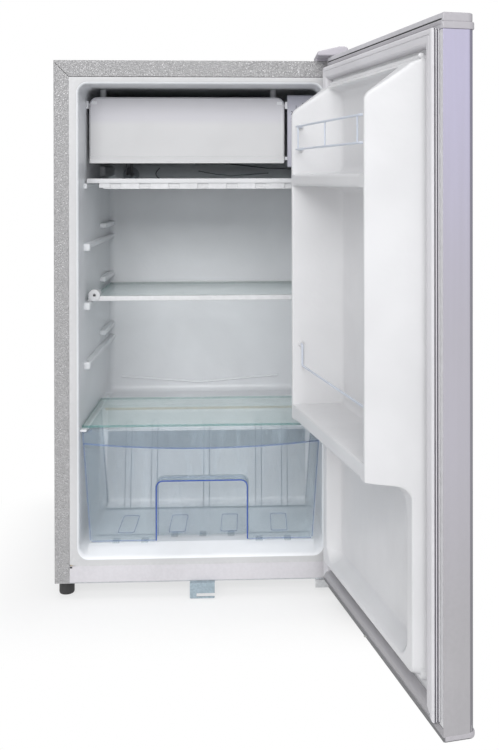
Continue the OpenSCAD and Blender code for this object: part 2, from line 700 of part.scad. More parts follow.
module freezer_flap() color([0.82, 0.82, 0.85]) {
    difference() {
        along_y(flap_y, flap_y + flap_t) round_rect([flap_x0, flap_z0], [flap_x1, flap_z1], 3);
        along_y(flap_y + 2.4, flap_y + flap_t + 1)
            round_rect([flap_x0 + 2.4, flap_z0 + 2.4], [flap_x1 - 2.4, flap_z1 - 2.4], 2);
        // hollow under the finger lip
        along_x(flap_x0 + 30, flap_x1 - 30) polygon([[flap_y - 4.6, flap_z0 - 1], [flap_y - 1, flap_z0 - 1],
            [flap_y - 1, flap_z0 + 6], [flap_y - 4.6, flap_z0 + 3]]);
    }
    along_x(flap_x0 + 1, flap_x1 - 1) polygon([[flap_y - 4, flap_z0], [flap_y + 0.5, flap_z0],
        [flap_y + 0.5, flap_z0 + 11], [flap_y - 0.6, flap_z0 + 10.5], [flap_y - 4, flap_z0 + 3]]);
    for (x = [flap_x0, flap_x1 - 6])
        box([x, flap_axis_y - 4, flap_axis_z - 5], [x + 6, flap_axis_y + 4, flap_axis_z + 5]);
    for (ends = [[flap_x0 - flap_pin_l, flap_x0 + 3], [flap_x1 - 3, flap_x1 + flap_pin_l]])
        rod([[ends[0], flap_axis_y, flap_axis_z], [ends[1], flap_axis_y, flap_axis_z]], flap_pin_r);
}

// outline of the thermostat housing from the front, shrunk by g
module thermo_outline(g) {
    r = 8 - g / 2;
    translate([thermo_x + g, thermo_z0 + g]) square([thermo_w - 2 * g, thermo_z1 - thermo_z0 - 2 * g - r]);
    translate([thermo_x + g, thermo_z0 + g]) square([thermo_w - 2 * g - r, thermo_z1 - thermo_z0 - 2 * g]);
    translate([wall_x - g - r, thermo_z1 - g - r]) circle(r);
}

module thermostat_housing() color([0.68, 0.68, 0.72]) difference() {
    along_y(flap_y, flap_y + thermo_d) thermo_outline(0);
    along_y(flap_y + thermo_t, flap_y + thermo_d + 1) thermo_outline(thermo_t);
    translate([knob_x, flap_y - 1, knob_z]) rotate([-90, 0, 0]) cylinder(h = 5, r = shaft_r + 1);
}

// switch body behind the dial
module thermostat_body() color([0.75, 0.76, 0.78]) {
    difference() {
        box([knob_x - 18, flap_y + thermo_t, knob_z - 14], [knob_x + 18, flap_y + 30, knob_z + 14]);
        translate([knob_x, flap_y, knob_z]) rotate([-90, 0, 0]) cylinder(h = 16, r = shaft_r + run_gap);
    }
    box([knob_x - 12, flap_y + 30, knob_z - 10], [knob_x + 12, flap_y + 40, knob_z + 10]);
    box([knob_x - 4, flap_y + 40, knob_z - 4], [knob_x + 4, flap_y + 46, knob_z + 4]);
}

// temperature dial with its grip bar and shaft
module thermostat_knob() color([0.92, 0.92, 0.93])
    translate([knob_x, flap_y - fit_gap, knob_z]) rotate([90, 0, 0]) {
    cylinder(h = 5, r = knob_r);
    cylinder(h = knob_l - 2, r = knob_r - 3);
    translate([-2.2, -knob_r + 2, 0]) box([0, 0, 0], [4.4, 2 * knob_r - 4, knob_l]);
    translate([0, 0, -14]) cylinder(h = 16, r = shaft_r);
}

// gas-filled sensor tube from the thermostat to the evaporator
module sensor_capillary() color([0.62, 0.64, 0.66]) rod([[knob_x, flap_y + 46, knob_z],
    [knob_x, flap_y + 56, knob_z], [knob_x - 8, flap_y + 70, evap_z0 - 12],
    [evap_x1 - 20, evap_y0 + 87, evap_z0 - 10], [evap_x1 - 60, sensor_y - 40, evap_z0 - 5],
    [evap_x1 - 90, sensor_y, evap_z0 - cap_r - 0.1],
    [evap_x1 - 150, sensor_y, evap_z0 - cap_r - 0.1]], cap_r);
sensor_y = evap_y0 + evap_d - 65;

// ---- shelves, tray and crisper ----

// glass over the crisper, on the two side ledges
module crisper_glass() color([0.5, 0.75, 0.7, 0.5])
    box([-wall_x + 1, front_y + 24, ledge_z], [wall_x - 1, hump_y + 14, ledge_z + glass_t]);

module shelf_glass() color([0.55, 0.78, 0.74, 0.5])
    box([-shelf_x, front_y + shelf_set + 8, shelf_z],
        [shelf_x, front_y + shelf_set + shelf_d - 8, shelf_z + glass_t]);

// plastic strip along the front of the shelf with a round boss at each end
module shelf_front_trim() color([0.92, 0.92, 0.92]) {
    y0 = front_y + shelf_set;
    difference() {
        union() {
            box([-shelf_x, y0, shelf_z], [shelf_x, y0 + 9, shelf_z + trim_h]);
            both_sides() translate([shelf_x - 9.5, y0 - 2, shelf_z + 9.5]) rotate([-90, 0, 0])
                cylinder(h = 32, r = 9.5);
        }
        box([-shelf_x - 1, y0 + 8, shelf_z - 1], [shelf_x + 1, y0 + 40, shelf_z + glass_t]);
        both_sides() translate([shelf_x - 9.5, y0 - 3, shelf_z + 9.5]) rotate([-90, 0, 0])
            cylinder(h = 12, r = 2.2);
    }
}

module shelf_rear_trim() color([0.92, 0.92, 0.92]) {
    y1 = front_y + shelf_set + shelf_d;
    difference() {
        box([-shelf_x, y1 - 9, shelf_z], [shelf_x, y1, shelf_z + 6.5]);
        box([-shelf_x - 1, y1 - 10, shelf_z - 1], [shelf_x + 1, y1 - 8, shelf_z + glass_t]);
    }
}

// tray that catches meltwater below the freezer; its lip runs on the guides
module drip_tray() color([0.9, 0.9, 0.9]) {
    y1 = tray_y0 + tray_d;
    low = tray_z1 - tray_h;
    difference() {
        union() {
            box([-tray_x, tray_y0, tray_z1 - tray_lip + fit_gap], [tray_x, y1, tray_z1]);
            along_y(tray_y0 + 3, y1 - 3) polygon([[-tray_x + tray_in, tray_z1 - 1],
                [-tray_x + tray_in, tray_z1 - tray_lip + 1], [-tray_x + tray_in + 8, low],
                [tray_x - tray_in - 8, low], [tray_x - tray_in, tray_z1 - tray_lip + 1],
                [tray_x - tray_in, tray_z1 - 1]]);
        }
        along_y(tray_y0 + 5, y1 - 5) polygon([[-tray_x + tray_in + 2, tray_z1 + 1],
            [-tray_x + tray_in + 2, tray_z1 - tray_lip + 1], [-tray_x + tray_in + 9, low + 2],
            [tray_x - tray_in - 9, low + 2], [tray_x - tray_in - 2, tray_z1 - tray_lip + 1],
            [tray_x - tray_in - 2, tray_z1 + 1]]);
        both_sides() box([tray_x - tray_in + 0.2, tray_y0 + 3, tray_z1 - tray_lip + 2.3],
            [tray_x + 1, y1 - 2, tray_z1 + 1]);
        // scallops in the front wall under the lip
        for (i = [-3:3]) along_y(tray_y0 + 2, tray_y0 + 4.2)
            round_rect([i * 47.6 - 8.5, low - 4], [i * 47.6 + 8.5, tray_z1 - tray_lip + 1.5], 3);
    }
}

// outer shape of the crisper, shrunk by g on every side but the top
module crisper_form(g) intersection() {
    along_y(crisper_y0 + lip_t + g, crisper_y0 + crisper_d - g) polygon([
        [-crisper_x + crisper_taper + g, crisper_z0 + g], [crisper_x - crisper_taper - g, crisper_z0 + g],
        [crisper_x - g, crisper_z0 + crisper_h], [-crisper_x + g, crisper_z0 + crisper_h]]);
    along_x(-half_w, half_w) polygon([
        [crisper_y0 + lip_t + g, crisper_z0 + g - 1], [crisper_y0 + crisper_d - g - 34, crisper_z0 + g - 1],
        [crisper_y0 + crisper_d - g, crisper_z0 + crisper_h + 1],
        [crisper_y0 + lip_t + g, crisper_z0 + crisper_h + 1]]);
}

// arched hand recess of the crisper's front, grown by g
module crisper_arch(g) along_y(crisper_y0 - 5, crisper_y0 + arch_d + g) {
    translate([-arch_w / 2 - g, crisper_z0 - 5]) square([arch_w + 2 * g, arch_h + 5 - 14]);
    round_rect([-arch_w / 2 - g, crisper_z0 + 20], [arch_w / 2 + g, crisper_z0 + arch_h + g], 10);
}

// transparent vegetable drawer with an arched hand recess, a bowed front band and low feet
module crisper_drawer() color([0.62, 0.72, 0.88, 0.6]) difference() {
    union() {
        difference() {
            crisper_form(0);
            difference() {
                crisper_form(crisper_t);
                crisper_arch(crisper_t);
            }
        }
        // folded rim at the sides
        both_sides() box([crisper_x - 4, crisper_y0 + 8, crisper_z0 + crisper_h - 3],
            [crisper_x, crisper_y0 + crisper_d - 12, crisper_z0 + crisper_h]);
        // band along the front, taller between the ledges
        intersection() {
            translate([0, crisper_y0, band_mid_z]) rotate([-90, 0, 0])
                cylinder(h = lip_t + 0.5, r = band_r, $fn = 360);
            along_y(crisper_y0, crisper_y0 + lip_t + 0.5) polygon([
                [-crisper_x + 1, band_z - 16], [crisper_x - 1, band_z - 16],
                [crisper_x, crisper_z0 + crisper_h], [wall_x - rail_w - 2, crisper_z0 + crisper_h],
                [wall_x - rail_w - 5, band_z], [-wall_x + rail_w + 5, band_z],
                [-wall_x + rail_w + 2, crisper_z0 + crisper_h], [-crisper_x, crisper_z0 + crisper_h]]);
        }
        // raised pads on the floor and feet below it
        for (x = [-124, -42, 42, 124]) box([x - 13.5, crisper_y0 + 33, crisper_z0 + 1],
            [x + 13.5, crisper_y0 + crisper_d - 62, crisper_z0 + crisper_t + 2]);
        for (i = [-3:3]) box(
            [i * 45.6 - 7.5, crisper_y0 + (abs(i) < 2 ? arch_d + 4 : lip_t + 1), step_z + fit_gap],
            [i * 45.6 + 7.5, crisper_y0 + crisper_d - 49, crisper_z0 + 1]);
    }
    crisper_arch(0);
}
band_z = ledge_z - 0.4;                       // top of the front band
band_low_z = floor_z + 166;                   // lowest point of the band's bowed edge
band_r = 1770;
band_mid_z = band_low_z + band_r;

// ---- hinges, lock strike and feet ----

// pressed plate on the cabinet's top that carries the upper pin
module top_hinge_bracket() color([0.7, 0.71, 0.72]) difference() {
    union() {
        box([half_w - 44, front_y - 6, door_z1 + 1], [half_w - 2, front_y + 44, door_z1 + 1 + plate_t]);
        box([hinge_x - 10, hinge_y, door_z1 + 1], [hinge_x + 10, front_y, door_z1 + 1 + plate_t]);
        translate([hinge_x, hinge_y, door_z1 + 1]) cylinder(h = plate_t, r = 10);
        box([half_w - 44, front_y + 4, top_z - hinge_pad], [half_w - 2, front_y + 44, door_z1 + 2]);
        translate([hinge_x, hinge_y, door_z1 - 13]) cylinder(h = 16, r = pin_r);
    }
    for (p = hinge_holes) translate([p[0], p[1], top_z - 1]) cylinder(h = 12, r = 2.6);
}
hinge_holes = [[half_w - 36, front_y + 14], [half_w - 12, front_y + 14], [half_w - 24, front_y + 34]];

module hinge_screws() color([0.78, 0.78, 0.79]) {
    for (p = hinge_holes) translate([p[0], p[1], door_z1 + 1 + plate_t]) {
        translate([0, 0, -plate_t - door_over - 1 - hinge_pad])
            cylinder(h = plate_t + door_over + 1 + hinge_pad, r = 2.5);
        cylinder(h = 2, r1 = 4.6, r2 = 3.2);
    }
    for (p = low_hinge_holes) translate([p[0], p[1], base_z - plate_t]) {
        cylinder(h = plate_t, r = 2.5);
        translate([0, 0, -2.2]) cylinder(h = 2.2, r1 = 3.2, r2 = 4.6);
    }
    for (x = strike_holes) translate([x, front_y + 20, base_z - 1.2]) {
        cylinder(h = 1.2, r = 1.9);
        translate([0, 0, -1.8]) cylinder(h = 1.8, r1 = 2.6, r2 = 3.6);
    }
}

// plastic cover over the upper hinge, sloping down to the left
module top_hinge_cover() color([0.72, 0.71, 0.73]) difference() {
    cover_form(0);
    cover_form(1.8);
    translate([hinge_x, hinge_y, top_z - 20]) cylinder(h = 20 + door_over + 0.8, r = 30);
}
cover_x0 = half_w - 48;
module cover_form(g) intersection() {
    along_y(hinge_y - 14 + g, front_y + 50 - g) polygon([[cover_x0 + g, top_z - hinge_pad - (g > 0 ? 1 : 0)],
        [half_w - g, top_z - hinge_pad - (g > 0 ? 1 : 0)], [half_w - g, top_z + 15 - g],
        [half_w - 4 - g / 2, top_z + 18 - g], [cover_x0 + 34, top_z + 18 - g],
        [cover_x0 + g, top_z + 10 - g]]);
    union() {
        box([cover_x0 - 1, front_y + 0.5, 0], [half_w + 1, front_y + 60, top_z + 30]);
        box([cover_x0 - 1, hinge_y - 20, door_z1 + 0.6], [half_w + 1, front_y + 1, top_z + 30]);
    }
}

// plate under the cabinet with the lower pin; the right levelling foot screws through it
low_hinge_z = door_z0 - 2.5 - plate_t;
corner_reach = sqrt(pow(half_w - hinge_x, 2) + pow(door_y - hinge_y, 2));
apron_y = hinge_y + corner_reach + 1;         // clear of the door's turning corner
low_hinge_holes = [[half_w - 42, front_y + 12], [half_w - 42, front_y + 34]];
module bottom_hinge_bracket() color([0.7, 0.71, 0.72]) difference() {
    union() {
        box([half_w - 50, apron_y + plate_t, base_z - plate_t], [half_w - 1, front_y + 42, base_z]);
        box([half_w - 50, apron_y, low_hinge_z], [half_w - 1, apron_y + plate_t, base_z]);
        box([hinge_x - 10, hinge_y, low_hinge_z], [hinge_x + 10, apron_y + plate_t, low_hinge_z + plate_t]);
        translate([hinge_x, hinge_y, low_hinge_z]) cylinder(h = plate_t, r = 10);
        translate([hinge_x, hinge_y, low_hinge_z]) cylinder(h = 17, r = pin_r);
    }
    translate([foot_x, foot_y, 0]) cylinder(h = 60, r = stud_r + run_gap);
    for (p = low_hinge_holes) translate([p[0], p[1], 0]) cylinder(h = 60, r = 2.6);
}

// zinc-plated strike below the beam, with a slot open to one side
strike_x0 = -18;
strike_w = 39;
strike_holes = [strike_x0 + 9, strike_x0 + 30];
module lock_strike() color([0.72, 0.78, 0.84]) difference() {
    union() {
        box([strike_x0, front_y - 8, base_z - 1.2], [strike_x0 + strike_w, front_y + 30, base_z]);
        box([strike_x0, front_y - 8, 1.5], [strike_x0 + strike_w, front_y - 6.5, base_z]);
    }
    box([strike_x0 + 10.5, front_y - 9, 4.5], [strike_x0 + strike_w + 1, front_y - 6, 9.5]);
    for (x = strike_holes) translate([x, front_y + 20, 0]) cylinder(h = 60, r = 2);
}

module rear_feet() color([0.16, 0.16, 0.16]) both_sides()
    translate([foot_x, rear_foot_y, 0]) cylinder(h = base_z, r = foot_r);

// screwed foot; x is its side
module levelling_foot(x) color([0.18, 0.18, 0.18]) translate([x, foot_y, 0]) {
    cylinder(h = base_z - 4, r = foot_r);
    translate([0, 0, 1]) cylinder(h = base_z + 16, r = stud_r);
}
module levelling_foot_left() levelling_foot(-foot_x);
module levelling_foot_right() levelling_foot(foot_x);

// ---- door ----

skin_z0 = door_z0 + 6;
skin_z1 = door_z1 - cap_top_h;

// outline of the door body seen from above, shrunk by g
module door_outline(g) {
    translate([-half_w + g, door_front + skin_r]) square([cab_w - 2 * g, door_t - skin_r]);
    translate([-half_w + skin_r, door_front + g]) square([cab_w - 2 * skin_r, door_t - g]);
    for (x = [-half_w + skin_r, half_w - skin_r]) translate([x, door_front + skin_r]) circle(skin_r - g);
}

// outline of the end caps' proud part
module cap_outline() {
    door_outline(0);
    translate([-half_w + skin_r, door_front - cap_proud]) square([cab_w - 2 * skin_r, 5]);
    for (x = [-half_w + skin_r, half_w - skin_r])
        translate([x, door_front + skin_r - cap_proud]) circle(skin_r);
}

// painted steel skin: front and both upright sides
module door_skin() color([0.76, 0.75, 0.82]) on_door() difference() {
    translate([0, 0, skin_z0]) linear_extrude(skin_z1 - skin_z0) door_outline(0);
    translate([0, 0, skin_z0 - 1]) linear_extrude(skin_z1 - skin_z0 + 2) door_outline(skin_t);
    translate([lock_x, 0, lock_z]) along_y(door_front - 1, door_front + 3) circle(lock_r + run_gap);
}

// insulation inside the skin and the liner's hollow walls
module door_foam() color([0.93, 0.86, 0.62]) on_door() difference() {
    union() {
        translate([0, 0, door_z0 + cap_bottom_h]) linear_extrude(skin_z1 - door_z0 - cap_bottom_h)
            intersection() {
                door_outline(skin_t);
                translate([-half_w, door_front]) square([cab_w, door_t - liner_t]);
            }
        liner_form(liner_t);
    }
    wire_ends(wire_r + seat_gap, tip_in_x - 10, wire_end + 0.5);
}

// a rack wall seen from above, right side, shrunk by g
module dyke_plan(g) polygon([[root_x - g, door_y - liner_t], [root_x - g, door_y + panel_n],
    [tip_x - g, door_y + dyke_n - g], [tip_in_x + g, door_y + dyke_n - g],
    [root_in_x + g, door_y - liner_t]]);

// side view of the rack walls, shrunk by g
module dyke_side(g) polygon([
    [door_y - liner_t, dyke_z0 - 14 + g], [door_y + low_rim_n, dyke_z0 - 14 + g],
    [door_y + 34, dyke_z0 - 4 + g], [door_y + 44, dyke_z0 + g], [door_y + dyke_n - 5 - g, dyke_z0 + g],
    [door_y + dyke_n - g, dyke_z0 + 5 + g], [door_y + dyke_n - g, dyke_z1 - 50 - g],
    [door_y + dyke_n - 4 - g, dyke_z1 - 40 - g], [door_y + dyke_n - 13, dyke_z1 - 33 - g],
    [door_y + panel_n, dyke_z1 - g], [door_y - liner_t, dyke_z1 - g]]);

// hollow floor of a rack from the side; z is its upper face and t its thickness
module rack_side(z, t, g) polygon([[door_y - liner_t, z - t + g], [door_y + dyke_n - 4 - g, z - t + g],
    [door_y + dyke_n - g, z - t + 4 + g], [door_y + dyke_n - g, z - 4 - g], [door_y + dyke_n - 4 - g, z - g],
    [door_y - liner_t, z - g]]);

// everything that the liner raises above the door's inner face, shrunk by g
module liner_form(g) {
    // raised border round the racks
    difference() {
        box([-root_x + g, door_y - liner_t, panel_z0 + g], [root_x - g, door_y + panel_n - g, panel_z1 - g]);
        box([-root_in_x - g, door_y - 5, dyke_z0 - 10 - g],
            [root_in_x + g, door_y + dyke_n, panel_z1 - 16 + g]);
        box([-root_x + low_rim_w + 14 - g, door_y - 5, panel_z0 + 30 - g],
            [root_x - low_rim_w - 14 + g, door_y + dyke_n, dyke_z0 - 24 + g]);
    }
    // low rim of the bottom field
    difference() {
        along_x(-root_x, root_x) polygon([
            [door_y + panel_n - g - 0.5, panel_z0 + 6 + g], [door_y + low_rim_n - g, panel_z0 + 22 + g],
            [door_y + low_rim_n - g, dyke_z0 - 14 - g], [door_y + panel_n - g - 0.5, dyke_z0 - 14 - g]]);
        both_sides() linear_extrude(door_z1) polygon([
            [root_x - g, door_y + panel_n - 1], [root_x - low_rim_w - g, door_y + low_rim_n],
            [root_x - low_rim_w - g, door_y + 90], [half_w, door_y + 90], [half_w, door_y + panel_n - 1]]);
        box([-root_x + low_rim_w + 14 - g, door_y - 5, panel_z0 + 30 - g],
            [root_x - low_rim_w - 14 + g, door_y + dyke_n, dyke_z0 - 24 + g]);
    }
    // side walls of the racks
    intersection() {
        translate([0, 0, panel_z0]) linear_extrude(panel_z1 - panel_z0) both_sides() dyke_plan(g);
        along_x(-half_w, half_w) dyke_side(g);
    }
    // floors of the upper and the lower rack
    intersection() {
        union() {
            along_x(-half_w, half_w) rack_side(rack_z, rack_floor_t, g);
            along_x(-half_w, half_w) rack_side(bottle_floor_z, bottle_floor_t, g);
        }
        translate([0, 0, panel_z0]) linear_extrude(panel_z1 - panel_z0)
            polygon([[-root_in_x - 8, door_y - liner_t], [root_in_x + 8, door_y - liner_t],
                [tip_in_x + 2, door_y + dyke_n], [-tip_in_x - 2, door_y + dyke_n]]);
    }
}

// vacuum-formed white liner of the door
module door_liner() color([0.93, 0.93, 0.94]) on_door() difference() {
    union() {
        box([-half_w + skin_t, door_y - liner_t, door_z0 + cap_bottom_h], [half_w - skin_t, door_y, skin_z1]);
        liner_form(0);
    }
    liner_form(liner_t);
    wire_ends(wire_r + seat_gap, tip_in_x - 10, wire_end + 0.5);
}

// end cap along the top edge of the door
module door_cap_top() color([0.74, 0.73, 0.76]) on_door() difference() {
    union() {
        translate([0, 0, skin_z1]) linear_extrude(cap_top_h) door_outline(0);
        translate([0, 0, skin_z1]) linear_extrude(cap_lip_h) cap_outline();
    }
    box([-half_w + 2, door_front + 2, skin_z1 - 1], [half_w - 2 * hinge_in - 6, door_y - 2, door_z1 - 2.5]);
    translate([hinge_x, hinge_y, skin_z1 - 1]) cylinder(h = 40, r = bush_r + seat_gap);
    // shadow groove along the inner face
    box([-half_w - 1, door_y - 0.8, door_z1 - 7], [half_w + 1, door_y + 1, door_z1 - 5.4]);
}

// end cap along the bottom edge of the door, with the lock's housing
module door_cap_bottom() color([0.74, 0.73, 0.76]) on_door() difference() {
    union() {
        translate([0, 0, door_z0]) linear_extrude(skin_z0 - door_z0) cap_outline();
        translate([0, 0, door_z0]) linear_extrude(cap_bottom_h) door_outline(skin_t);
    }
    box([-half_w + 3, door_front + 3, door_z0 + 2.5], [lock_x - 12, door_y - 3, door_z0 + cap_bottom_h + 1]);
    box([lock_x + cam_l + 9, door_front + 3, door_z0 + 2.5],
        [half_w - 2 * hinge_in - 6, door_y - 3, door_z0 + cap_bottom_h + 1]);
    translate([hinge_x, hinge_y, door_z0 - 1]) cylinder(h = 40, r = bush_r + seat_gap);
    // pocket and slot of the lock cam
    translate([lock_x, 0, lock_z]) {
        along_y(door_front + 17, door_y + 1) translate([-7, -12]) square([cam_l + 11, 25]);
        along_y(door_front - 4, door_y - 8) circle(lock_r + run_gap);
    }
}

// bushes that turn on the hinge pins; the lower one carries the door on its flange
module hinge_bushes() color([0.9, 0.9, 0.88]) on_door() translate([hinge_x, hinge_y, 0]) difference() {
    union() {
        translate([0, 0, door_z1 - 14]) cylinder(h = 14, r = bush_r);
        translate([0, 0, door_z0 - 2.2]) cylinder(h = 2.2, r = bush_r + 2);
        translate([0, 0, door_z0 - 0.5]) cylinder(h = 14.5, r = bush_r);
    }
    cylinder(h = 2 * door_z1, r = pin_r + run_gap);
}

// magnetic gasket, a closed frame with a bellows groove all round
module door_gasket() color([0.8, 0.8, 0.81]) on_door() difference() {
    gasket_frame(gasket_in, gasket_in + gasket_w, 0, door_gap - fit_gap);
    difference() {
        gasket_frame(gasket_in - 1, gasket_in + 3, 3.2, 4.4);
        gasket_frame(gasket_in + 2, gasket_in + 9, 3.0, 4.6);
    }
    difference() {
        gasket_frame(gasket_in - 1, gasket_in + 3, 6.6, 7.8);
        gasket_frame(gasket_in + 2, gasket_in + 9, 6.4, 8.0);
    }
}
module gasket_frame(a, b, n0, n1) along_y(door_y + n0, door_y + n1) difference() {
    translate([-half_w + a, door_z0 + a + 8]) square([cab_w - 2 * a, door_z1 - door_z0 - 2 * a - 16]);
    translate([-half_w + b, door_z0 + b + 8]) square([cab_w - 2 * b, door_z1 - door_z0 - 2 * b - 16]);
}

// the wires across the racks end in the side walls at depth rail_n
rail_n = dyke_n - 12;
rail_low_z = rack_z + 34.6;
rail_high_z = rack_z + 68;
bottle_z = dyke_z0 + 84;
bottle_rise = 30;
wire_end = tip_in_x + 6;

// a bar of radius r into both side walls at every wire end, from x0 to x1
module wire_ends(r, x0, x1) both_sides() for (z = [rail_low_z, rail_high_z, bottle_z + bottle_rise])
    translate([x0, door_y + rail_n, z]) rotate([0, 90, 0]) cylinder(h = x1 - x0, r = r);

module upper_rack_rail() color([0.86, 0.87, 0.9]) on_door() {
    y0 = door_y + rail_n;
    y1 = door_y + dyke_n - wire_r - 0.4;
    for (z = [rail_low_z, rail_high_z]) rod([
        [-wire_end, y0, z], [-tip_in_x + 10, y0, z], [-tip_in_x + 15, y1, z],
        [tip_in_x - 15, y1, z], [tip_in_x - 10, y0, z], [wire_end, y0, z]], wire_r);
    for (x = [-1, 0, 1] * (tip_in_x - 26)) rod([[x, y1, rail_low_z], [x, y1, rail_high_z]], wire_r * 0.7);
}

module lower_rack_rail() color([0.86, 0.87, 0.9]) on_door() {
    y = door_y + rail_n;
    rod([[-wire_end, y, bottle_z + bottle_rise], [-tip_in_x + 11.5, y, bottle_z + bottle_rise],
        [-tip_in_x + 11.5, y, bottle_z], [tip_in_x - 11.5, y, bottle_z],
        [tip_in_x - 11.5, y, bottle_z + bottle_rise], [wire_end, y, bottle_z + bottle_rise]], wire_r);
}

// collars round the wire ends on the inside of the side walls
module rail_eyelets() color([0.9, 0.9, 0.91]) on_door() difference() {
    wire_ends(4.5, tip_in_x - 7, tip_in_x + 1);
    wire_ends(wire_r + seat_gap, tip_in_x - 10, tip_in_x + 7);
    linear_extrude(door_z1) both_sides() dyke_plan(0);
}

// ---- lock in the door's bottom cap ----

lock_x = strike_x0 + strike_w - 4;
lock_z = door_z0 + 8;
cam_l = 21;
lock_r = 5.5;
module lock_cylinder() color([0.8, 0.81, 0.83]) on_door() translate([lock_x, 0, lock_z]) difference() {
    union() {
        along_y(door_front - cap_proud - 1.5, door_front + 16.8) circle(lock_r);
        along_y(door_front - cap_proud - 1.5, door_front - cap_proud - 0.3) circle(lock_r + 1.5);
    }
    box([-0.6, door_front - cap_proud - 2, -3], [0.6, door_front + 8, 3]);
}

// tongue that swings down into the strike
module lock_cam() color([0.75, 0.76, 0.78]) on_door() translate([lock_x, 0, lock_z]) {
    along_y(door_front + 17.3, door_front + 19.3) union() {
        circle(lock_r);
        translate([0, -3.5]) square([cam_l, 7]);
    }
    along_y(door_front + 16.8, door_front + 17.4) circle(3);
    along_y(door_front + 19, door_y + 5.5) translate([cam_l - 3, -1.5]) square([3, 3]);
}

outer_case();
back_panel();
cabinet_foam();
inner_liner();
bottom_beam();
base_plate();
bay_bulkhead();
compressor();
compressor_grommets();
compressor_bolts();
relay_cover();
condenser_coil();
condenser_wires();
condenser_brackets();
filter_drier();
capillary_tube();
suction_tube();
evaporator_box();
evaporator_hangers();
tube_entry_plug();
flap_bearings();
flap_catch();
thermostat_housing();
thermostat_body();
sensor_capillary();
crisper_glass();
top_hinge_bracket();
top_hinge_cover();
hinge_screws();
bottom_hinge_bracket();
lock_strike();
rear_feet();
power_inlet();
evaporation_pan();
drain_tube();
door_skin();
door_foam();
door_liner();
door_cap_top();
door_cap_bottom();
door_gasket();
upper_rack_rail();
lower_rack_rail();
rail_eyelets();
hinge_bushes();
lock_cylinder();
lock_cam();
freezer_flap();
thermostat_knob();
crisper_drawer();
shelf_glass();
shelf_front_trim();
shelf_rear_trim();
drip_tray();
levelling_foot_left();
levelling_foot_right();
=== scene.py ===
"""Compact refrigerator with its door standing open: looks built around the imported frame.

Lengths in this script are in millimetres until a piece is finished, and metres after that.
"""

from __future__ import annotations

import logging
import math
from collections.abc import Callable, Sequence
from dataclasses import dataclass, field
from enum import Enum

import bmesh
import bpy
from mathutils import Matrix, Vector


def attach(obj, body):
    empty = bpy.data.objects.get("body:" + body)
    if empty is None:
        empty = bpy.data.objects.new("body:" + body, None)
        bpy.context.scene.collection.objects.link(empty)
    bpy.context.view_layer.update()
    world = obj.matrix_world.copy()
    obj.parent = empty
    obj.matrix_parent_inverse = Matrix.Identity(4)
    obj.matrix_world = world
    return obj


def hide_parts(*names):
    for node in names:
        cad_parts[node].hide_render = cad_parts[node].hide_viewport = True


LOG = logging.getLogger("fridge")
MM = 0.001
Point = tuple[float, float, float]
Flat = tuple[float, float]
Mesh = bmesh.types.BMesh
Edge = bmesh.types.BMEdge
Node = bpy.types.Node
Socket = bpy.types.NodeSocket
Tree = bpy.types.NodeTree
EdgeTest = Callable[[Edge], bool]
Colour = tuple[float, float, float]
Value = Socket | float | tuple[float, ...]


class Axis(Enum):
    """The frame's three directions."""

    X = 0
    Y = 1
    Z = 2


@dataclass(frozen=True)
class Sizes:
    """Main levels and planes of the appliance, as the frame has them."""

    half_w: float = 230.0
    front: float = -205.0
    rear: float = 205.0
    base: float = 26.0
    top: float = 848.0
    rim_x: float = 206.5
    rim_low: float = 53.0
    rim_top: float = 822.5
    wall_x: float = 191.5
    floor: float = 65.5
    ceiling: float = 811.0
    back: float = 147.0
    step: float = 81.0
    hump_y: float = 10.0
    hump_z: float = 254.5
    door_inner: float = -216.0
    door_front: float = -255.5
    door_low: float = 19.5
    door_high: float = 851.0
    skin_low: float = 25.5
    skin_high: float = 832.0
    skin_r: float = 9.0
    hinge_x: float = 218.0
    hinge_y: float = -233.0
    open_deg: float = 102.4


S = Sizes()
DOOR_OPEN = (
    Matrix.Translation((S.hinge_x, S.hinge_y, 0.0))
    @ Matrix.Rotation(math.radians(S.open_deg), 4, "Z")
    @ Matrix.Translation((-S.hinge_x, -S.hinge_y, 0.0))
)


# ---- mesh making ----


def along(axis: Axis) -> EdgeTest:
    """Returns a test for edges that run along an axis.

    Args:
        axis: the direction.

    Returns:
        The test.
    """

    def test(edge: Edge) -> bool:
        """Tells whether an edge runs along the axis."""
        run = edge.verts[1].co - edge.verts[0].co
        return run.length > 1e-6 and abs(run[axis.value]) / run.length > 0.999

    return test


def folded(edge: Edge) -> bool:
    """Tells whether two faces meet at a clear angle at an edge."""
    return not edge.is_boundary and abs(edge.calc_face_angle(0.0)) > 0.9


def level(axis: Axis, value: float, slack: float = 0.05) -> EdgeTest:
    """Returns a test for edges that lie at one level of an axis."""
    return lambda edge: all(abs(v.co[axis.value] - value) < slack for v in edge.verts)


def every(*tests: EdgeTest) -> EdgeTest:
    """Returns a test that asks for all the given tests."""
    return lambda edge: all(test(edge) for test in tests)


def either(*tests: EdgeTest) -> EdgeTest:
    """Returns a test that asks for any of the given tests."""
    return lambda edge: any(test(edge) for test in tests)


def soften(part: Mesh, width: float, segments: int = 3, pick: EdgeTest | None = None) -> Mesh:
    """Rounds the picked edges of a part.

    Args:
        part: the mesh to round.
        width: how far the rounding reaches from each edge.
        segments: faces across the rounding.
        pick: the test for the edges to round, or None for all.

    Returns:
        The same part.
    """
    edges = [e for e in part.edges if pick is None or pick(e)]
    bmesh.ops.bevel(part, geom=edges, offset=width, offset_type="OFFSET", affect="EDGES", segments=segments,
                    profile=0.5, material=-1, clamp_overlap=True)
    return part


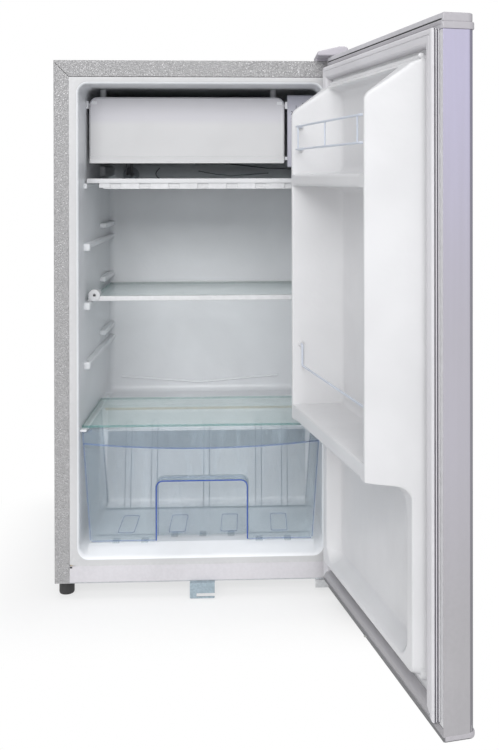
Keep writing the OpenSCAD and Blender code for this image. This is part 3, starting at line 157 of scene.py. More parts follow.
def block(lo: Point, hi: Point, edge: float = 0.0, segments: int = 3, pick: EdgeTest | None = None) -> Mesh:
    """Makes a box from corner lo to corner hi, with rounded edges.

    Args:
        lo: the lowest corner.
        hi: the highest corner.
        edge: width of the rounding.
        segments: faces across the rounding.
        pick: the test for the edges to round, or None for all.

    Returns:
        The new part.
    """
    part = bmesh.new()
    size = Vector(hi) - Vector(lo)
    mid = (Vector(hi) + Vector(lo)) / 2
    bmesh.ops.create_cube(part, size=1.0, matrix=Matrix.Translation(mid) @ Matrix.Diagonal((*size, 1.0)))
    return soften(part, edge, segments, pick) if edge > 0 else part


def lift(axis: Axis, flat: Flat, height: float) -> Vector:
    """Places a flat point in the plane across an axis, at a height along it."""
    a, b = flat
    return Vector({Axis.X: (height, a, b), Axis.Y: (a, height, b), Axis.Z: (a, b, height)}[axis])


def prism(outline: Sequence[Flat], axis: Axis, low: float, high: float) -> Mesh:
    """Makes a prism of an outline drawn across an axis, from low to high along it.

    Args:
        outline: corners in order round the shape.
        axis: the direction of its length.
        low: where it starts.
        high: where it ends.

    Returns:
        The new part.
    """
    part = bmesh.new()
    face = part.faces.new([part.verts.new(lift(axis, p, low)) for p in outline])
    grown = bmesh.ops.extrude_face_region(part, geom=[face], use_keep_orig=True)
    bmesh.ops.translate(part, verts=new_verts(grown), vec=lift(axis, (0.0, 0.0), high - low))
    bmesh.ops.recalc_face_normals(part, faces=part.faces[:])
    return part


def lathe(profile: Sequence[Flat], centre: Point, axis: Axis, steps: int = 48) -> Mesh:
    """Spins a profile of (radius, height) points about an axis through a centre.

    Args:
        profile: radius and height of each corner.
        centre: where height zero lies.
        axis: the spin axis.
        steps: faces round the circle.

    Returns:
        The new part.
    """
    part = bmesh.new()
    verts = [part.verts.new((r, 0.0, h)) for r, h in profile]
    edges = [part.edges.new(pair) for pair in zip(verts, verts[1:])]
    bmesh.ops.spin(part, geom=[*verts, *edges], cent=(0, 0, 0), axis=(0, 0, 1), angle=math.tau, steps=steps,
                   use_merge=True, use_duplicate=False)
    bmesh.ops.remove_doubles(part, verts=part.verts[:], dist=1e-4)
    turn = {Axis.X: Matrix.Rotation(math.pi / 2, 4, "Y"), Axis.Y: Matrix.Rotation(-math.pi / 2, 4, "X"),
            Axis.Z: Matrix.Identity(4)}[axis]
    bmesh.ops.transform(part, matrix=Matrix.Translation(centre) @ turn, verts=part.verts[:])
    bmesh.ops.recalc_face_normals(part, faces=part.faces[:])
    return part


def loft(rings: Sequence[Sequence[Vector]], wrap: bool = False, caps: bool = True) -> Mesh:
    """Bridges closed rings of points into one skin.

    Args:
        rings: the rings, each with the same number of points.
        wrap: joins the last ring to the first.
        caps: closes the first and last rings when they aren't joined.

    Returns:
        The new part.
    """
    part = bmesh.new()
    loops = []
    for ring in rings:
        verts = [part.verts.new(p) for p in ring]
        loops.append([part.edges.new((a, b)) for a, b in zip(verts, verts[1:] + verts[:1])])
    pairs = list(zip(loops, loops[1:]))
    if wrap:
        pairs.append((loops[-1], loops[0]))
    for a, b in pairs:
        bmesh.ops.bridge_loops(part, edges=[*a, *b])
    if caps and not wrap:
        bmesh.ops.holes_fill(part, edges=[*loops[0], *loops[-1]], sides=0)
    bmesh.ops.recalc_face_normals(part, faces=part.faces[:])
    return part


def bar(points: Sequence[Point], radius: float, sides: int = 14, bend: float = 0.0) -> Mesh:
    """Sweeps a round bar along a line of points, with each corner bent to a radius.

    Args:
        points: the corners of the line.
        radius: half the thickness.
        sides: faces round the bar.
        bend: radius of its corners.

    Returns:
        The new part.
    """
    path = [Vector(points[0])]
    for before, here, after in zip(points, points[1:], points[2:]):
        a, b, c = Vector(before), Vector(here), Vector(after)
        into, out = (b - a).normalized(), (c - b).normalized()
        turn = into.angle(out)
        reach = bend * math.tan(turn / 2)
        if bend <= 0 or reach < 1e-3:
            path.append(b)
            continue
        steps = 7
        for i in range(steps + 1):
            t = i / steps
            one, two = b - into * reach, b + out * reach
            path.append(one.lerp(b, t).lerp(b.lerp(two, t), t))
    path.append(Vector(points[-1]))
    rings = []
    side = None
    for i, here in enumerate(path):
        run = (path[min(i + 1, len(path) - 1)] - path[max(i - 1, 0)]).normalized()
        if side is None:
            side = run.orthogonal().normalized()
        side = (side - run * side.dot(run)).normalized()
        up = run.cross(side)
        turns = [math.tau * k / sides for k in range(sides)]
        rings.append([here + side * math.cos(t) * radius + up * math.sin(t) * radius for t in turns])
    return loft(rings)


def joined(*parts: Mesh) -> Mesh:
    """Puts several parts into the first one.

    Args:
        parts: the parts; all but the first are freed.

    Returns:
        The first part.
    """
    first, *others = parts
    for part in others:
        spare = bpy.data.meshes.new("spare")
        part.to_mesh(spare)
        part.free()
        first.from_mesh(spare)
        bpy.data.meshes.remove(spare)
    return first


def new_verts(grown: dict[str, list]) -> list[bmesh.types.BMVert]:
    """Returns the vertices that an extrusion made."""
    return [g for g in grown["geom"] if isinstance(g, bmesh.types.BMVert)]


def cut(part: Mesh, geom: Sequence, place: Sequence[float], normal: Sequence[float]) -> None:
    """Cuts some of a part's geometry along a plane through a place."""
    bmesh.ops.bisect_plane(part, geom=geom, dist=1e-4, plane_co=place, plane_no=normal)


def hood(x0: float, x1: float, foot: float, top: float, bend: float, grow: float, steps: int) -> list[Flat]:
    """Returns an open line up one side, over two round corners and down the other side.

    Args:
        x0: the left side.
        x1: the right side.
        foot: level of both ends.
        top: level of the top.
        bend: corner radius.
        grow: how far the line is moved outward.
        steps: stretches in each corner.

    Returns:
        The points from left to right.
    """
    r = bend + grow
    turns = [math.pi / 2 / steps * k for k in range(steps + 1)]
    left = [(x0 + bend - r * math.cos(t), top - bend + r * math.sin(t)) for t in turns]
    right = [(x1 - bend + r * math.sin(t), top - bend + r * math.cos(t)) for t in turns]
    return [(x0 - grow, foot), *left, *right, (x1 + grow, foot)]


def smooth_max(a: float, b: float, soft: float) -> float:
    """Returns the larger of two values with a soft join."""
    h = max(soft - abs(a - b), 0.0) / soft
    return max(a, b) + h * h * soft / 4


def smooth_min(a: float, b: float, soft: float) -> float:
    """Returns the smaller of two values with a soft join."""
    return -smooth_max(-a, -b, soft)


# ---- finishes ----


@dataclass
class Graph:
    """Writes nodes into a tree with few words."""

    tree: Tree

    def add(self, kind: str, links: dict[str | int, Value] | None = None, **settings: object) -> Node:
        """Adds a node; links maps input names or numbers to values or sockets.

        Args:
            kind: the node's type.
            links: values or sockets by input.
            settings: the node's own settings.

        Returns:
            The new node.
        """
        node = self.tree.nodes.new(kind)
        for key, value in settings.items():
            setattr(node, key, value)
        for key, value in (links or {}).items():
            socket = node.inputs[key]
            if isinstance(value, Socket):
                self.tree.links.new(value, socket)
            else:
                socket.default_value = value
        return node

    def send(self, sink: Node, **values: Socket) -> None:
        """Joins values to the inputs of the same names."""
        for key, value in values.items():
            self.tree.links.new(value, sink.inputs[key])

    def math(self, operation: str, a: Value, b: Value = 0.0, clamp: bool = False) -> Socket:
        """Adds one arithmetic node and returns its result."""
        return self.add("ShaderNodeMath", {0: a, 1: b}, operation=operation, use_clamp=clamp).outputs[0]

    def ramp(self, value: Value, low: float, high: float, to_low: float = 0.0,
             to_high: float = 1.0) -> Socket:
        """Maps a value from one range to another, smoothly and clamped.

        Args:
            value: what is mapped.
            low: start of its range.
            high: end of its range.
            to_low: result at the start.
            to_high: result at the end.

        Returns:
            The mapped value.
        """
        node = self.add("ShaderNodeMapRange", {0: value, 1: low, 2: high, 3: to_low, 4: to_high},
                        interpolation_type="SMOOTHSTEP")
        return node.outputs[0]

    def mix(self, factor: Value, a: Value, b: Value) -> Socket:
        """Mixes two colours."""
        return self.add("ShaderNodeMix", {0: factor, 6: a, 7: b}, data_type="RGBA").outputs[2]

    def noise(self, vector: Socket, scale: float, detail: float = 2.0, rough: float = 0.5,
              warp: float = 0.0) -> Socket:
        """Adds fractal noise and returns its value."""
        links = {"Vector": vector, "Scale": scale, "Detail": detail, "Roughness": rough, "Distortion": warp}
        return self.add("ShaderNodeTexNoise", links).outputs["Fac"]


def group(name: str, inputs: dict[str, float], outputs: Sequence[str],
          build: Callable[[Graph, Node, Node], None]) -> Tree:
    """Returns the shared node group of that name, made on first use.

    Args:
        name: the group's name.
        inputs: its number inputs with their usual values; a Vector input always comes first.
        outputs: its number outputs.
        build: fills the group, given a graph, its input node and its output node.

    Returns:
        The node group.
    """
    tree = bpy.data.node_groups.get(name)
    if tree is not None:
        return tree
    tree = bpy.data.node_groups.new(name, "ShaderNodeTree")
    tree.interface.new_socket("Vector", in_out="INPUT", socket_type="NodeSocketVector")
    for key, value in inputs.items():
        tree.interface.new_socket(key, in_out="INPUT", socket_type="NodeSocketFloat").default_value = value
    for key in outputs:
        tree.interface.new_socket(key, in_out="OUTPUT", socket_type="NodeSocketFloat")
    source, sink = tree.nodes.new("NodeGroupInput"), tree.nodes.new("NodeGroupOutput")
    build(Graph(tree), source, sink)
    return tree


def leather_group() -> Tree:
    """Embossed leather grain of coated steel: soft pebbles between fine creases, and a mask for painted
    highlight on the crowns and painted shade in the creases.

    Returns:
        The node group.
    """

    def build(g: Graph, source: Node, sink: Node) -> None:
        """Fills the group.

        Args:
            g: the graph to add to.
            source: its inputs.
            sink: its outputs.
        """
        at = source.outputs["Vector"]
        large = g.noise(at, 210.0, 2.0, 0.5, 0.3)
        wobble = g.add("ShaderNodeTexNoise", {"Vector": at, "Scale": 260.0, "Detail": 2.0}).outputs["Color"]
        shift = g.add("ShaderNodeVectorMath", {0: wobble, 1: (0.004, 0.004, 0.004)},
                      operation="MULTIPLY").outputs[0]
        moved = g.add("ShaderNodeVectorMath", {0: at, 1: shift}, operation="ADD").outputs[0]
        cells = g.add("ShaderNodeTexVoronoi", {"Vector": moved, "Scale": source.outputs["Scale"]},
                      feature="DISTANCE_TO_EDGE").outputs["Distance"]
        small = g.noise(moved, 900.0, 2.0)
        crease = g.ramp(cells, 0.0, 0.22)
        pebble = g.math("ADD", crease, g.math("MULTIPLY", small, 0.35))
        rolling = g.math("ADD", pebble, g.math("MULTIPLY", g.ramp(large, 0.3, 0.7), 1.3))
        # Painted highlight on the crowns and painted shade in the creases, in broad patches.
        crown = g.math("MULTIPLY", crease, g.ramp(large, 0.35, 0.62, 0.35, 1.0))
        g.send(sink, Height=rolling, Crown=crown)

    return group("leather_grain", {"Scale": 340.0}, ("Height", "Crown"), build)


def grain_group() -> Tree:
    """Fine moulding grain with a slow orange peel under it.

    Returns:
        The node group.
    """

    def build(g: Graph, source: Node, sink: Node) -> None:
        """Fills the group.

        Args:
            g: the graph to add to.
            source: its inputs.
            sink: its outputs.
        """
        at = source.outputs["Vector"]
        fine = g.noise(at, 1400.0, 3.0, 0.6)
        peel = g.noise(at, 110.0, 1.0)
        both = g.math("ADD", g.math("MULTIPLY", fine, source.outputs["Fine"]),
                      g.math("MULTIPLY", peel, source.outputs["Peel"]))
        g.send(sink, Height=both)

    return group("moulding_grain", {"Fine": 0.4, "Peel": 1.0}, ("Height",), build)


def handling_group() -> Tree:
    """Slow change of tone, faint wipe marks and dust from use.

    Returns:
        The node group.
    """

    def build(g: Graph, source: Node, sink: Node) -> None:
        """Fills the group.

        Args:
            g: the graph to add to.
            source: its inputs.
            sink: its outputs.
        """
        at = source.outputs["Vector"]
        slow = g.noise(at, 5.0, 3.0, 0.55, 0.4)
        stretched = g.add("ShaderNodeMapping",
                          {"Vector": at, "Scale": (9.0, 9.0, 2.0), "Rotation": (0.3, 0.2, 0.1)}).outputs[0]
        wipes = g.ramp(g.noise(stretched, 7.0, 5.0, 0.65, 0.8), 0.45, 0.75)
        specks = g.ramp(g.noise(at, 480.0, 1.0), 0.72, 0.82)
        g.send(sink, Tone=slow, Wipes=wipes, Specks=specks)

    return group("handling", {}, ("Tone", "Wipes", "Specks"), build)


def edge_group() -> Tree:
    """Masks for worn outer edges with a painted highlight, and for inner corners with painted shade.

    Returns:
        The node group.
    """

    def build(g: Graph, source: Node, sink: Node) -> None:
        """Fills the group.

        Args:
            g: the graph to add to.
            source: its inputs.
            sink: its outputs.
        """
        point = g.add("ShaderNodeNewGeometry").outputs["Pointiness"]
        rough = g.noise(source.outputs["Vector"], 180.0, 3.0)
        # Outer edges: wear with a painted highlight. Hollow corners: painted shade.
        worn = g.math("MULTIPLY", g.ramp(point, 0.53, 0.6), g.ramp(rough, 0.35, 0.65))
        hollow = g.ramp(point, 0.5, 0.42)
        g.send(sink, Worn=worn, Hollow=hollow)

    return group("edges", {}, ("Worn", "Hollow"), build)


def streak_group() -> Tree:
    """Fine lines of rolled, drawn or brushed metal along one direction.

    Returns:
        The node group.
    """

    def build(g: Graph, source: Node, sink: Node) -> None:
        """Fills the group.

        Args:
            g: the graph to add to.
            source: its inputs.
            sink: its outputs.
        """
        long = g.add("ShaderNodeMapping",
                     {"Vector": source.outputs["Vector"], "Scale": (1.0, 1.0, 0.02)}).outputs[0]
        fine = g.noise(long, 900.0, 3.0, 0.6)
        broad = g.noise(long, 90.0, 2.0)
        g.send(sink, Fine=fine, Broad=broad)

    return group("streaks", {}, ("Fine", "Broad"), build)


def spangle_group() -> Tree:
    """Crystal pattern of zinc-coated sheet.

    Returns:
        The node group.
    """

    def build(g: Graph, source: Node, sink: Node) -> None:
        """Fills the group.

        Args:
            g: the graph to add to.
            source: its inputs.
            sink: its outputs.
        """
        tone = g.add("ShaderNodeTexVoronoi",
                     {"Vector": source.outputs["Vector"], "Scale": source.outputs["Scale"],
                                              "Randomness": 1.0}, feature="F1").outputs["Color"]
        value = g.add("ShaderNodeSeparateColor", {0: tone}).outputs[0]
        g.send(sink, Tone=value)

    return group("spangle", {"Scale": 130.0}, ("Tone",), build)


def opaque(colour: Colour) -> tuple[float, float, float, float]:
    """Adds full opacity to a colour."""
    return (*colour, 1.0)


def shade(colour: Colour, by: float) -> tuple[float, float, float, float]:
    """Returns a colour made lighter or darker by a factor."""
    return opaque(tuple(min(1.0, c * by) for c in colour))


@dataclass(frozen=True)
class Finish:
    """A surface with slow tone changes, handling marks, worn edges with a painted highlight and painted
    shade in hollows.

    Args:
        name: the material's name.
        colour: linear base colour.
        rough: middle roughness.
        metal: metallic share.
        coat: clear coat weight.
        fine: strength of the fine moulding grain.
        peel: strength of the slow orange peel.
        bump: depth of the grain in metres.
        wear_and_sheen: how strongly edges show wear and a painted highlight.
        marks: how strongly wipe marks change the roughness.
        tone: how far the colour drifts to each side.
    """

    name: str
    colour: Colour
    rough: float = 0.4
    metal: float = 0.0
    coat: float = 0.0
    fine: float = 0.4
    peel: float = 1.0
    bump: float = 0.00008
    wear_and_sheen: float = 0.25
    marks: float = 0.08
    tone: float = 0.05

    def material(self) -> bpy.types.Material:
        """Returns the Blender material, made on first use.

        Returns:
            The material.
        """
        found = bpy.data.materials.get(self.name)
        if found is not None:
            return found
        made = bpy.data.materials.new(self.name)
        made.use_nodes = True
        made.diffuse_color = opaque(self.colour)
        tree = made.node_tree
        tree.nodes.clear()
        g = Graph(tree)
        at = g.add("ShaderNodeTexCoord").outputs["Object"]
        shader = g.add("ShaderNodeBsdfPrincipled", {"Coat Roughness": 0.12})
        self.dress(g, at, shader)
        out = g.add("ShaderNodeOutputMaterial")
        tree.links.new(shader.outputs[0], out.inputs["Surface"])
        return made

    def shared(self, g: Graph, at: Socket, tree: Tree, **numbers: float) -> Node:
        """Adds a shared group to the material.

        Args:
            g: the material's graph.
            at: where the surface is sampled.
            tree: the shared group.
            numbers: its number inputs.

        Returns:
            The group's node.
        """
        node = g.add("ShaderNodeGroup", node_tree=tree)
        g.tree.links.new(at, node.inputs["Vector"])
        for key, value in numbers.items():
            node.inputs[key].default_value = value
        return node

    def base(self, g: Graph, at: Socket) -> tuple[Socket, Socket]:
        """Makes the usual colour and roughness.

        Args:
            g: the material's graph.
            at: where the surface is sampled.

        Returns:
            The colour and the roughness.
        """
        use = self.shared(g, at, handling_group())
        edge = self.shared(g, at, edge_group())
        colour = g.mix(g.ramp(use.outputs["Tone"], 0.3, 0.7), shade(self.colour, 1 - self.tone),
                       shade(self.colour, 1 + self.tone))
        # Hollows darken as painted shade; outer edges lighten as wear with a painted highlight.
        colour = g.mix(g.math("MULTIPLY", edge.outputs["Hollow"], 0.35), colour, shade(self.colour, 0.72))
        colour = g.mix(g.math("MULTIPLY", edge.outputs["Worn"], self.wear_and_sheen), colour,
                       shade(self.colour, 1.25))
        rough = g.math("ADD", self.rough, g.math("MULTIPLY", use.outputs["Wipes"], self.marks), clamp=True)
        return colour, rough

    def dress(self, g: Graph, at: Socket, shader: Node) -> None:
        """Feeds the shader; other kinds of surface replace this.

        Args:
            g: the material's graph.
            at: where the surface is sampled.
            shader: the shader to feed.
        """
        colour, rough = self.base(g, at)
        grain = self.shared(g, at, grain_group(), Fine=self.fine, Peel=self.peel)
        self.feed(g, shader, colour, rough, grain.outputs["Height"], self.bump)

    def feed(self, g: Graph, shader: Node, colour: Socket, rough: Socket, height: Socket,
             deep: float) -> None:
        """Joins colour, roughness and bump to the shader.

        Args:
            g: the material's graph.
            shader: the shader to feed.
            colour: its colour.
            rough: its roughness.
            height: the height that the bump follows.
            deep: the bump's depth in metres.
        """
        bump = g.add("ShaderNodeBump", {"Strength": 1.0, "Distance": deep, "Height": height})
        g.tree.links.new(colour, shader.inputs["Base Color"])
        g.tree.links.new(rough, shader.inputs["Roughness"])
        g.tree.links.new(bump.outputs[0], shader.inputs["Normal"])
        shader.inputs["Metallic"].default_value = self.metal
        shader.inputs["Coat Weight"].default_value = self.coat


@dataclass(frozen=True)
class Embossed(Finish):
    """Leather-grained lacquer on steel."""

    depth: float = 0.0006
    pebble: float = 340.0
    # Painted shade: the case grows darker towards the bottom.
    foot: float = 0.80
    foot_z: tuple[float, float] = (0.8, 0.45)

    def dress(self, g: Graph, at: Socket, shader: Node) -> None:
        """Adds raised pebbles with painted highlight on their crowns, painted shade in the creases and
        painted shade towards the bottom.

        Args:
            g: the material's graph.
            at: where the surface is sampled.
            shader: the shader to feed.
        """
        colour, rough = self.base(g, at)
        leather = self.shared(g, at, leather_group(), Scale=self.pebble)
        # Darker creases and lighter crowns: painted shade and painted highlight.
        colour = g.mix(g.math("MULTIPLY", leather.outputs["Crown"], 0.9), shade(self.colour, 0.74), colour)
        height = g.add("ShaderNodeSeparateXYZ", {0: at}).outputs[2]
        # Darker towards the bottom: painted shade.
        colour = g.mix(g.ramp(height, *self.foot_z), colour, shade(self.colour, self.foot))
        self.feed(g, shader, colour, rough, leather.outputs["Height"], self.depth)


@dataclass(frozen=True)
class Streaked(Finish):
    """Rolled or brushed surface whose lines run upright, or along another axis when turned."""

    lines: float = 0.1
    turn: tuple[float, float, float] = (0.0, 0.0, 0.0)
    # The colours by height are painted light: they lighten or darken the surface in bands.
    waist_light: Colour | None = None
    waist_light_z: tuple[float, float] = (0.1, 0.42)
    top: Colour | None = None
    top_light_z: tuple[float, float] = (0.45, 0.82)

    def dress(self, g: Graph, at: Socket, shader: Node) -> None:
        """Adds lines to colour, roughness and bump, and painted light: colours that change with height.

        Args:
            g: the material's graph.
            at: where the surface is sampled.
            shader: the shader to feed.
        """
        colour, rough = self.base(g, at)
        height = g.add("ShaderNodeSeparateXYZ", {0: at}).outputs[2]
        # Painted light: bands that change the colour with height.
        for tint, reach in ((self.waist_light, self.waist_light_z), (self.top, self.top_light_z)):
            if tint is not None:
                colour = g.mix(g.ramp(height, *reach), colour, opaque(tint))
        turned = g.add("ShaderNodeMapping", {"Vector": at, "Rotation": self.turn}).outputs[0]
        lines = self.shared(g, turned, streak_group())
        colour = g.mix(g.math("MULTIPLY", g.ramp(lines.outputs["Broad"], 0.35, 0.65), self.lines), colour,
                       shade(self.colour, 0.8))
        rough = g.math("ADD", rough, g.math("MULTIPLY", lines.outputs["Fine"], self.lines), clamp=True)
        self.feed(g, shader, colour, rough, lines.outputs["Fine"], self.bump)


@dataclass(frozen=True)
class Sleeved(Streaked):
    """Drawn tube that wears a pale sleeve in front of a plane across the depth."""

    sleeve: Colour = (0.5, 0.52, 0.55)
    plane: float = 0.1455

    def base(self, g: Graph, at: Socket) -> tuple[Socket, Socket]:
        """Makes the usual colour and roughness, with the sleeve over them.

        Args:
            g: the material's graph.
            at: where the surface is sampled.

        Returns:
            The colour and the roughness.
        """
        colour, rough = super().base(g, at)
        depth = g.add("ShaderNodeSeparateXYZ", {0: at}).outputs[1]
        worn = g.ramp(depth, self.plane + 0.0005, self.plane - 0.0005)
        colour = g.mix(worn, colour, opaque(self.sleeve))
        rough = g.math("ADD", rough, g.math("MULTIPLY", worn, 0.25), clamp=True)
        return colour, rough


@dataclass(frozen=True)
class Spangled(Finish):
    """Zinc-coated steel with crystals."""

    crystal: float = 130.0

    def dress(self, g: Graph, at: Socket, shader: Node) -> None:
        """Adds crystals to colour and roughness.

        Args:
            g: the material's graph.
            at: where the surface is sampled.
            shader: the shader to feed.
        """
        colour, rough = self.base(g, at)
        crystal = self.shared(g, at, spangle_group(), Scale=self.crystal).outputs["Tone"]
        colour = g.mix(g.math("MULTIPLY", crystal, 0.5), colour, shade(self.colour, 0.75))
        rough = g.math("ADD", rough, g.math("MULTIPLY", crystal, 0.2), clamp=True)
        grain = self.shared(g, at, grain_group(), Fine=0.5, Peel=0.5)
        self.feed(g, shader, colour, rough, grain.outputs["Height"], self.bump)


@dataclass(frozen=True)
class Clear(Finish):
    """See-through sheet: thin when faced, full at a grazing angle."""

    faced: float = 0.2
    grazed: float = 0.9

    def dress(self, g: Graph, at: Socket, shader: Node) -> None:
        """Adds opacity that grows towards the outline, and smudges.

        Args:
            g: the material's graph.
            at: where the surface is sampled.
            shader: the shader to feed.
        """
        colour, rough = self.base(g, at)
        facing = g.add("ShaderNodeLayerWeight", {"Blend": 0.35}).outputs["Facing"]
        use = self.shared(g, at, handling_group())
        film = g.math("MULTIPLY", use.outputs["Wipes"], 0.05)
        alpha = g.math("ADD", g.ramp(facing, 0.0, 1.0, self.faced, self.grazed), film, clamp=True)
        shadow = g.add("ShaderNodeLightPath").outputs["Is Shadow Ray"]
        alpha = g.math("MULTIPLY", alpha, g.math("SUBTRACT", 1.0, g.math("MULTIPLY", shadow, 0.8)))
        grain = self.shared(g, at, grain_group(), Fine=self.fine, Peel=self.peel)
        self.feed(g, shader, colour, rough, grain.outputs["Height"], self.bump)
        g.tree.links.new(alpha, shader.inputs["Alpha"])


@dataclass(frozen=True)
class Foamed(Finish):
    """Rigid foam with cells and yellowed skin."""

    cell_deep: float = 0.0006

    def dress(self, g: Graph, at: Socket, shader: Node) -> None:
        """Adds open cells to colour and bump.

        Args:
            g: the material's graph.
            at: where the surface is sampled.
            shader: the shader to feed.
        """
        colour, rough = self.base(g, at)
        cells = g.add("ShaderNodeTexVoronoi", {"Vector": at, "Scale": 900.0},
                      feature="F1").outputs["Distance"]
        colour = g.mix(g.ramp(cells, 0.2, 0.8), colour, shade(self.colour, 0.7))
        self.feed(g, shader, colour, rough, cells, self.cell_deep)


CASE = Embossed("case_embossed", (0.54, 0.535, 0.54), rough=0.34, metal=0.3, coat=0.15, wear_and_sheen=0.12)
BACK_SHEET = Streaked("back_sheet_paint", (0.40, 0.40, 0.41), rough=0.45, metal=0.4)
FOAM = Foamed("foam", (0.80, 0.62, 0.32), rough=0.85)
LINER = Finish("liner_inner", (0.80, 0.815, 0.835), rough=0.36, peel=1.6, bump=0.00012, coat=0.08)
# A darker copy of the liner's white for its front rim: painted shade.
LINER_RIM_SHADE = Finish("liner_rim_shade", (0.57, 0.57, 0.575), rough=0.36, peel=1.6, bump=0.0001, coat=0.1)
BEAM = Finish("beam_lacquer", (0.62, 0.605, 0.63), rough=0.38, coat=0.12)
GALVANISED = Spangled("galvanised_sheet", (0.52, 0.54, 0.56), rough=0.35, metal=0.9)
COMPRESSOR = Finish("compressor_lacquer", (0.012, 0.012, 0.014), rough=0.3, coat=0.4, wear_and_sheen=0.1)
RUBBER = Finish("rubber", (0.025, 0.025, 0.025), rough=0.75, fine=1.0)
BOLT = Spangled("zinc_bolt", (0.62, 0.62, 0.6), rough=0.3, metal=1.0, crystal=600.0)
BLACK_PLASTIC = Finish("black_moulding", (0.02, 0.02, 0.022), rough=0.5, fine=1.2)
CONDENSER = Finish("condenser_lacquer", (0.012, 0.012, 0.012), rough=0.42, wear_and_sheen=0.2)
COPPER = Streaked("drawn_copper", (0.62, 0.26, 0.13), rough=0.3, metal=1.0)
TUBING = Sleeved("sleeved_tubing", (0.62, 0.26, 0.13), rough=0.35, metal=0.3)
ALUMINIUM = Streaked("rolled_aluminium", (0.62, 0.64, 0.67), rough=0.38, metal=0.9, turn=(0.0, 1.5708, 0.0))
WHITE = Finish("white_moulding", (0.68, 0.69, 0.71), rough=0.38, coat=0.08)
# The flap's top band is darker: painted shadow of the case's top rim.
FLAP = Streaked("flap_moulding", (0.585, 0.585, 0.59), rough=0.4, coat=0.05, lines=0.0, bump=0.00003,
                top=(0.55, 0.545, 0.575), top_light_z=(0.748, 0.762))
# A dark line of painted shade along the flap's rounded top and sides.
FLAP_EDGE_SHADE = Finish("flap_edge_shade", (0.30, 0.31, 0.34), rough=0.5)
THERMO = Finish("housing_moulding", (0.44, 0.44, 0.50), rough=0.45, fine=0.8)
INK = Finish("dial_ink", (0.03, 0.03, 0.035), rough=0.6)
GLASS = Clear("float_glass", (0.66, 0.82, 0.80), rough=0.04, faced=0.05, grazed=0.45, coat=0.3, fine=0.0,
              peel=0.3)
GLASS_EDGE = Clear("float_glass_edge", (0.10, 0.30, 0.28), rough=0.12, faced=0.55, grazed=0.9, fine=1.0)
HINGE = Spangled("hinge_zinc", (0.6, 0.61, 0.62), rough=0.32, metal=1.0, crystal=300.0)
COVER = Finish("cover_moulding", (0.48, 0.46, 0.50), rough=0.5, fine=1.0)
STRIKE = Spangled("strike_plating", (0.36, 0.44, 0.49), rough=0.46, metal=0.3, crystal=350.0)
FOOT = Finish("foot_moulding", (0.035, 0.035, 0.035), rough=0.55, fine=1.2)
TUBE = Finish("tube_moulding", (0.6, 0.6, 0.58), rough=0.45)
PLUG = Finish("plug_rubber", (0.46, 0.48, 0.51), rough=0.6, fine=1.2)
# The door paint grows lighter and more lilac towards the top: painted light.
DOOR_PAINT = Streaked("door_lacquer", (0.41, 0.40, 0.415), rough=0.36, metal=0.25, coat=0.1, lines=0.10,
                      waist_light=(0.44, 0.425, 0.475), top=(0.50, 0.475, 0.62))
# A darker copy of the door paint for its rounded outer corners: painted shade.
DOOR_EDGE_SHADE = Streaked("door_lacquer_edge_shade", (0.215, 0.21, 0.23), rough=0.42, metal=0.25, lines=0.06,
                     waist_light=(0.24, 0.235, 0.265), top=(0.26, 0.25, 0.32))
DOOR_LINER = Finish("door_liner", (0.665, 0.665, 0.675), rough=0.38, peel=1.8, bump=0.00012, coat=0.08)
CAP = Finish("cap_moulding", (0.45, 0.435, 0.46), rough=0.5, fine=0.9)
# A lighter copy of the cap grey for the top cap's inner face: painted light.
CAP_INNER_LIGHT = Finish("cap_moulding_inner_light", (0.56, 0.55, 0.575), rough=0.55, fine=0.9)
CAP_SHADE = Finish("cap_moulding_shade", (0.37, 0.36, 0.375), rough=0.55, fine=0.9)
# A dark copy of the cap grey for faces turned down or into the door: painted shade.
CAP_LOW_SHADE = Finish("cap_moulding_low_shade", (0.16, 0.16, 0.165), rough=0.55, fine=0.9)
GASKET = Finish("gasket_vinyl", (0.64, 0.63, 0.65), rough=0.6, fine=0.8)
# Darker copies of the gasket vinyl: painted shade on the bottom run and in the grooves.
GASKET_LOW_SHADE = Finish("gasket_vinyl_low_shade", (0.40, 0.39, 0.405), rough=0.6, fine=0.8)
GASKET_GROOVE_SHADE = Finish("gasket_groove_shade", (0.28, 0.27, 0.30), rough=0.7, fine=0.8)
WIRE = Finish("coated_wire", (0.58, 0.62, 0.70), rough=0.28, coat=0.3)
LOCK = Streaked("lock_nickel", (0.6, 0.61, 0.63), rough=0.22, metal=1.0)
CRISPER = Clear("crisper_clear", (0.72, 0.86, 1.0), rough=0.14, faced=0.08, grazed=0.32, coat=0.08,
                peel=1.2)
CRISPER_LINE = Clear("crisper_line", (0.17, 0.29, 0.62), rough=0.2, faced=0.30, grazed=0.5)
CRISPER_RIB = Clear("crisper_rib", (0.50, 0.62, 0.86), rough=0.2, faced=0.08, grazed=0.22)
CRISPER_EDGE = Clear("crisper_edge", (0.03, 0.09, 0.42), rough=0.15, faced=0.75, grazed=0.95)
TRAY = Finish("tray_moulding", (0.66, 0.665, 0.675), rough=0.38, coat=0.06)
TRIM = Finish("trim_moulding", (0.66, 0.665, 0.675), rough=0.34, coat=0.08)
KNOB = Finish("knob_moulding", (0.74, 0.75, 0.78), rough=0.3, coat=0.2)
SENSOR = Streaked("sensor_sleeve", (0.2, 0.2, 0.22), rough=0.35, metal=0.8)


# ---- pieces ----


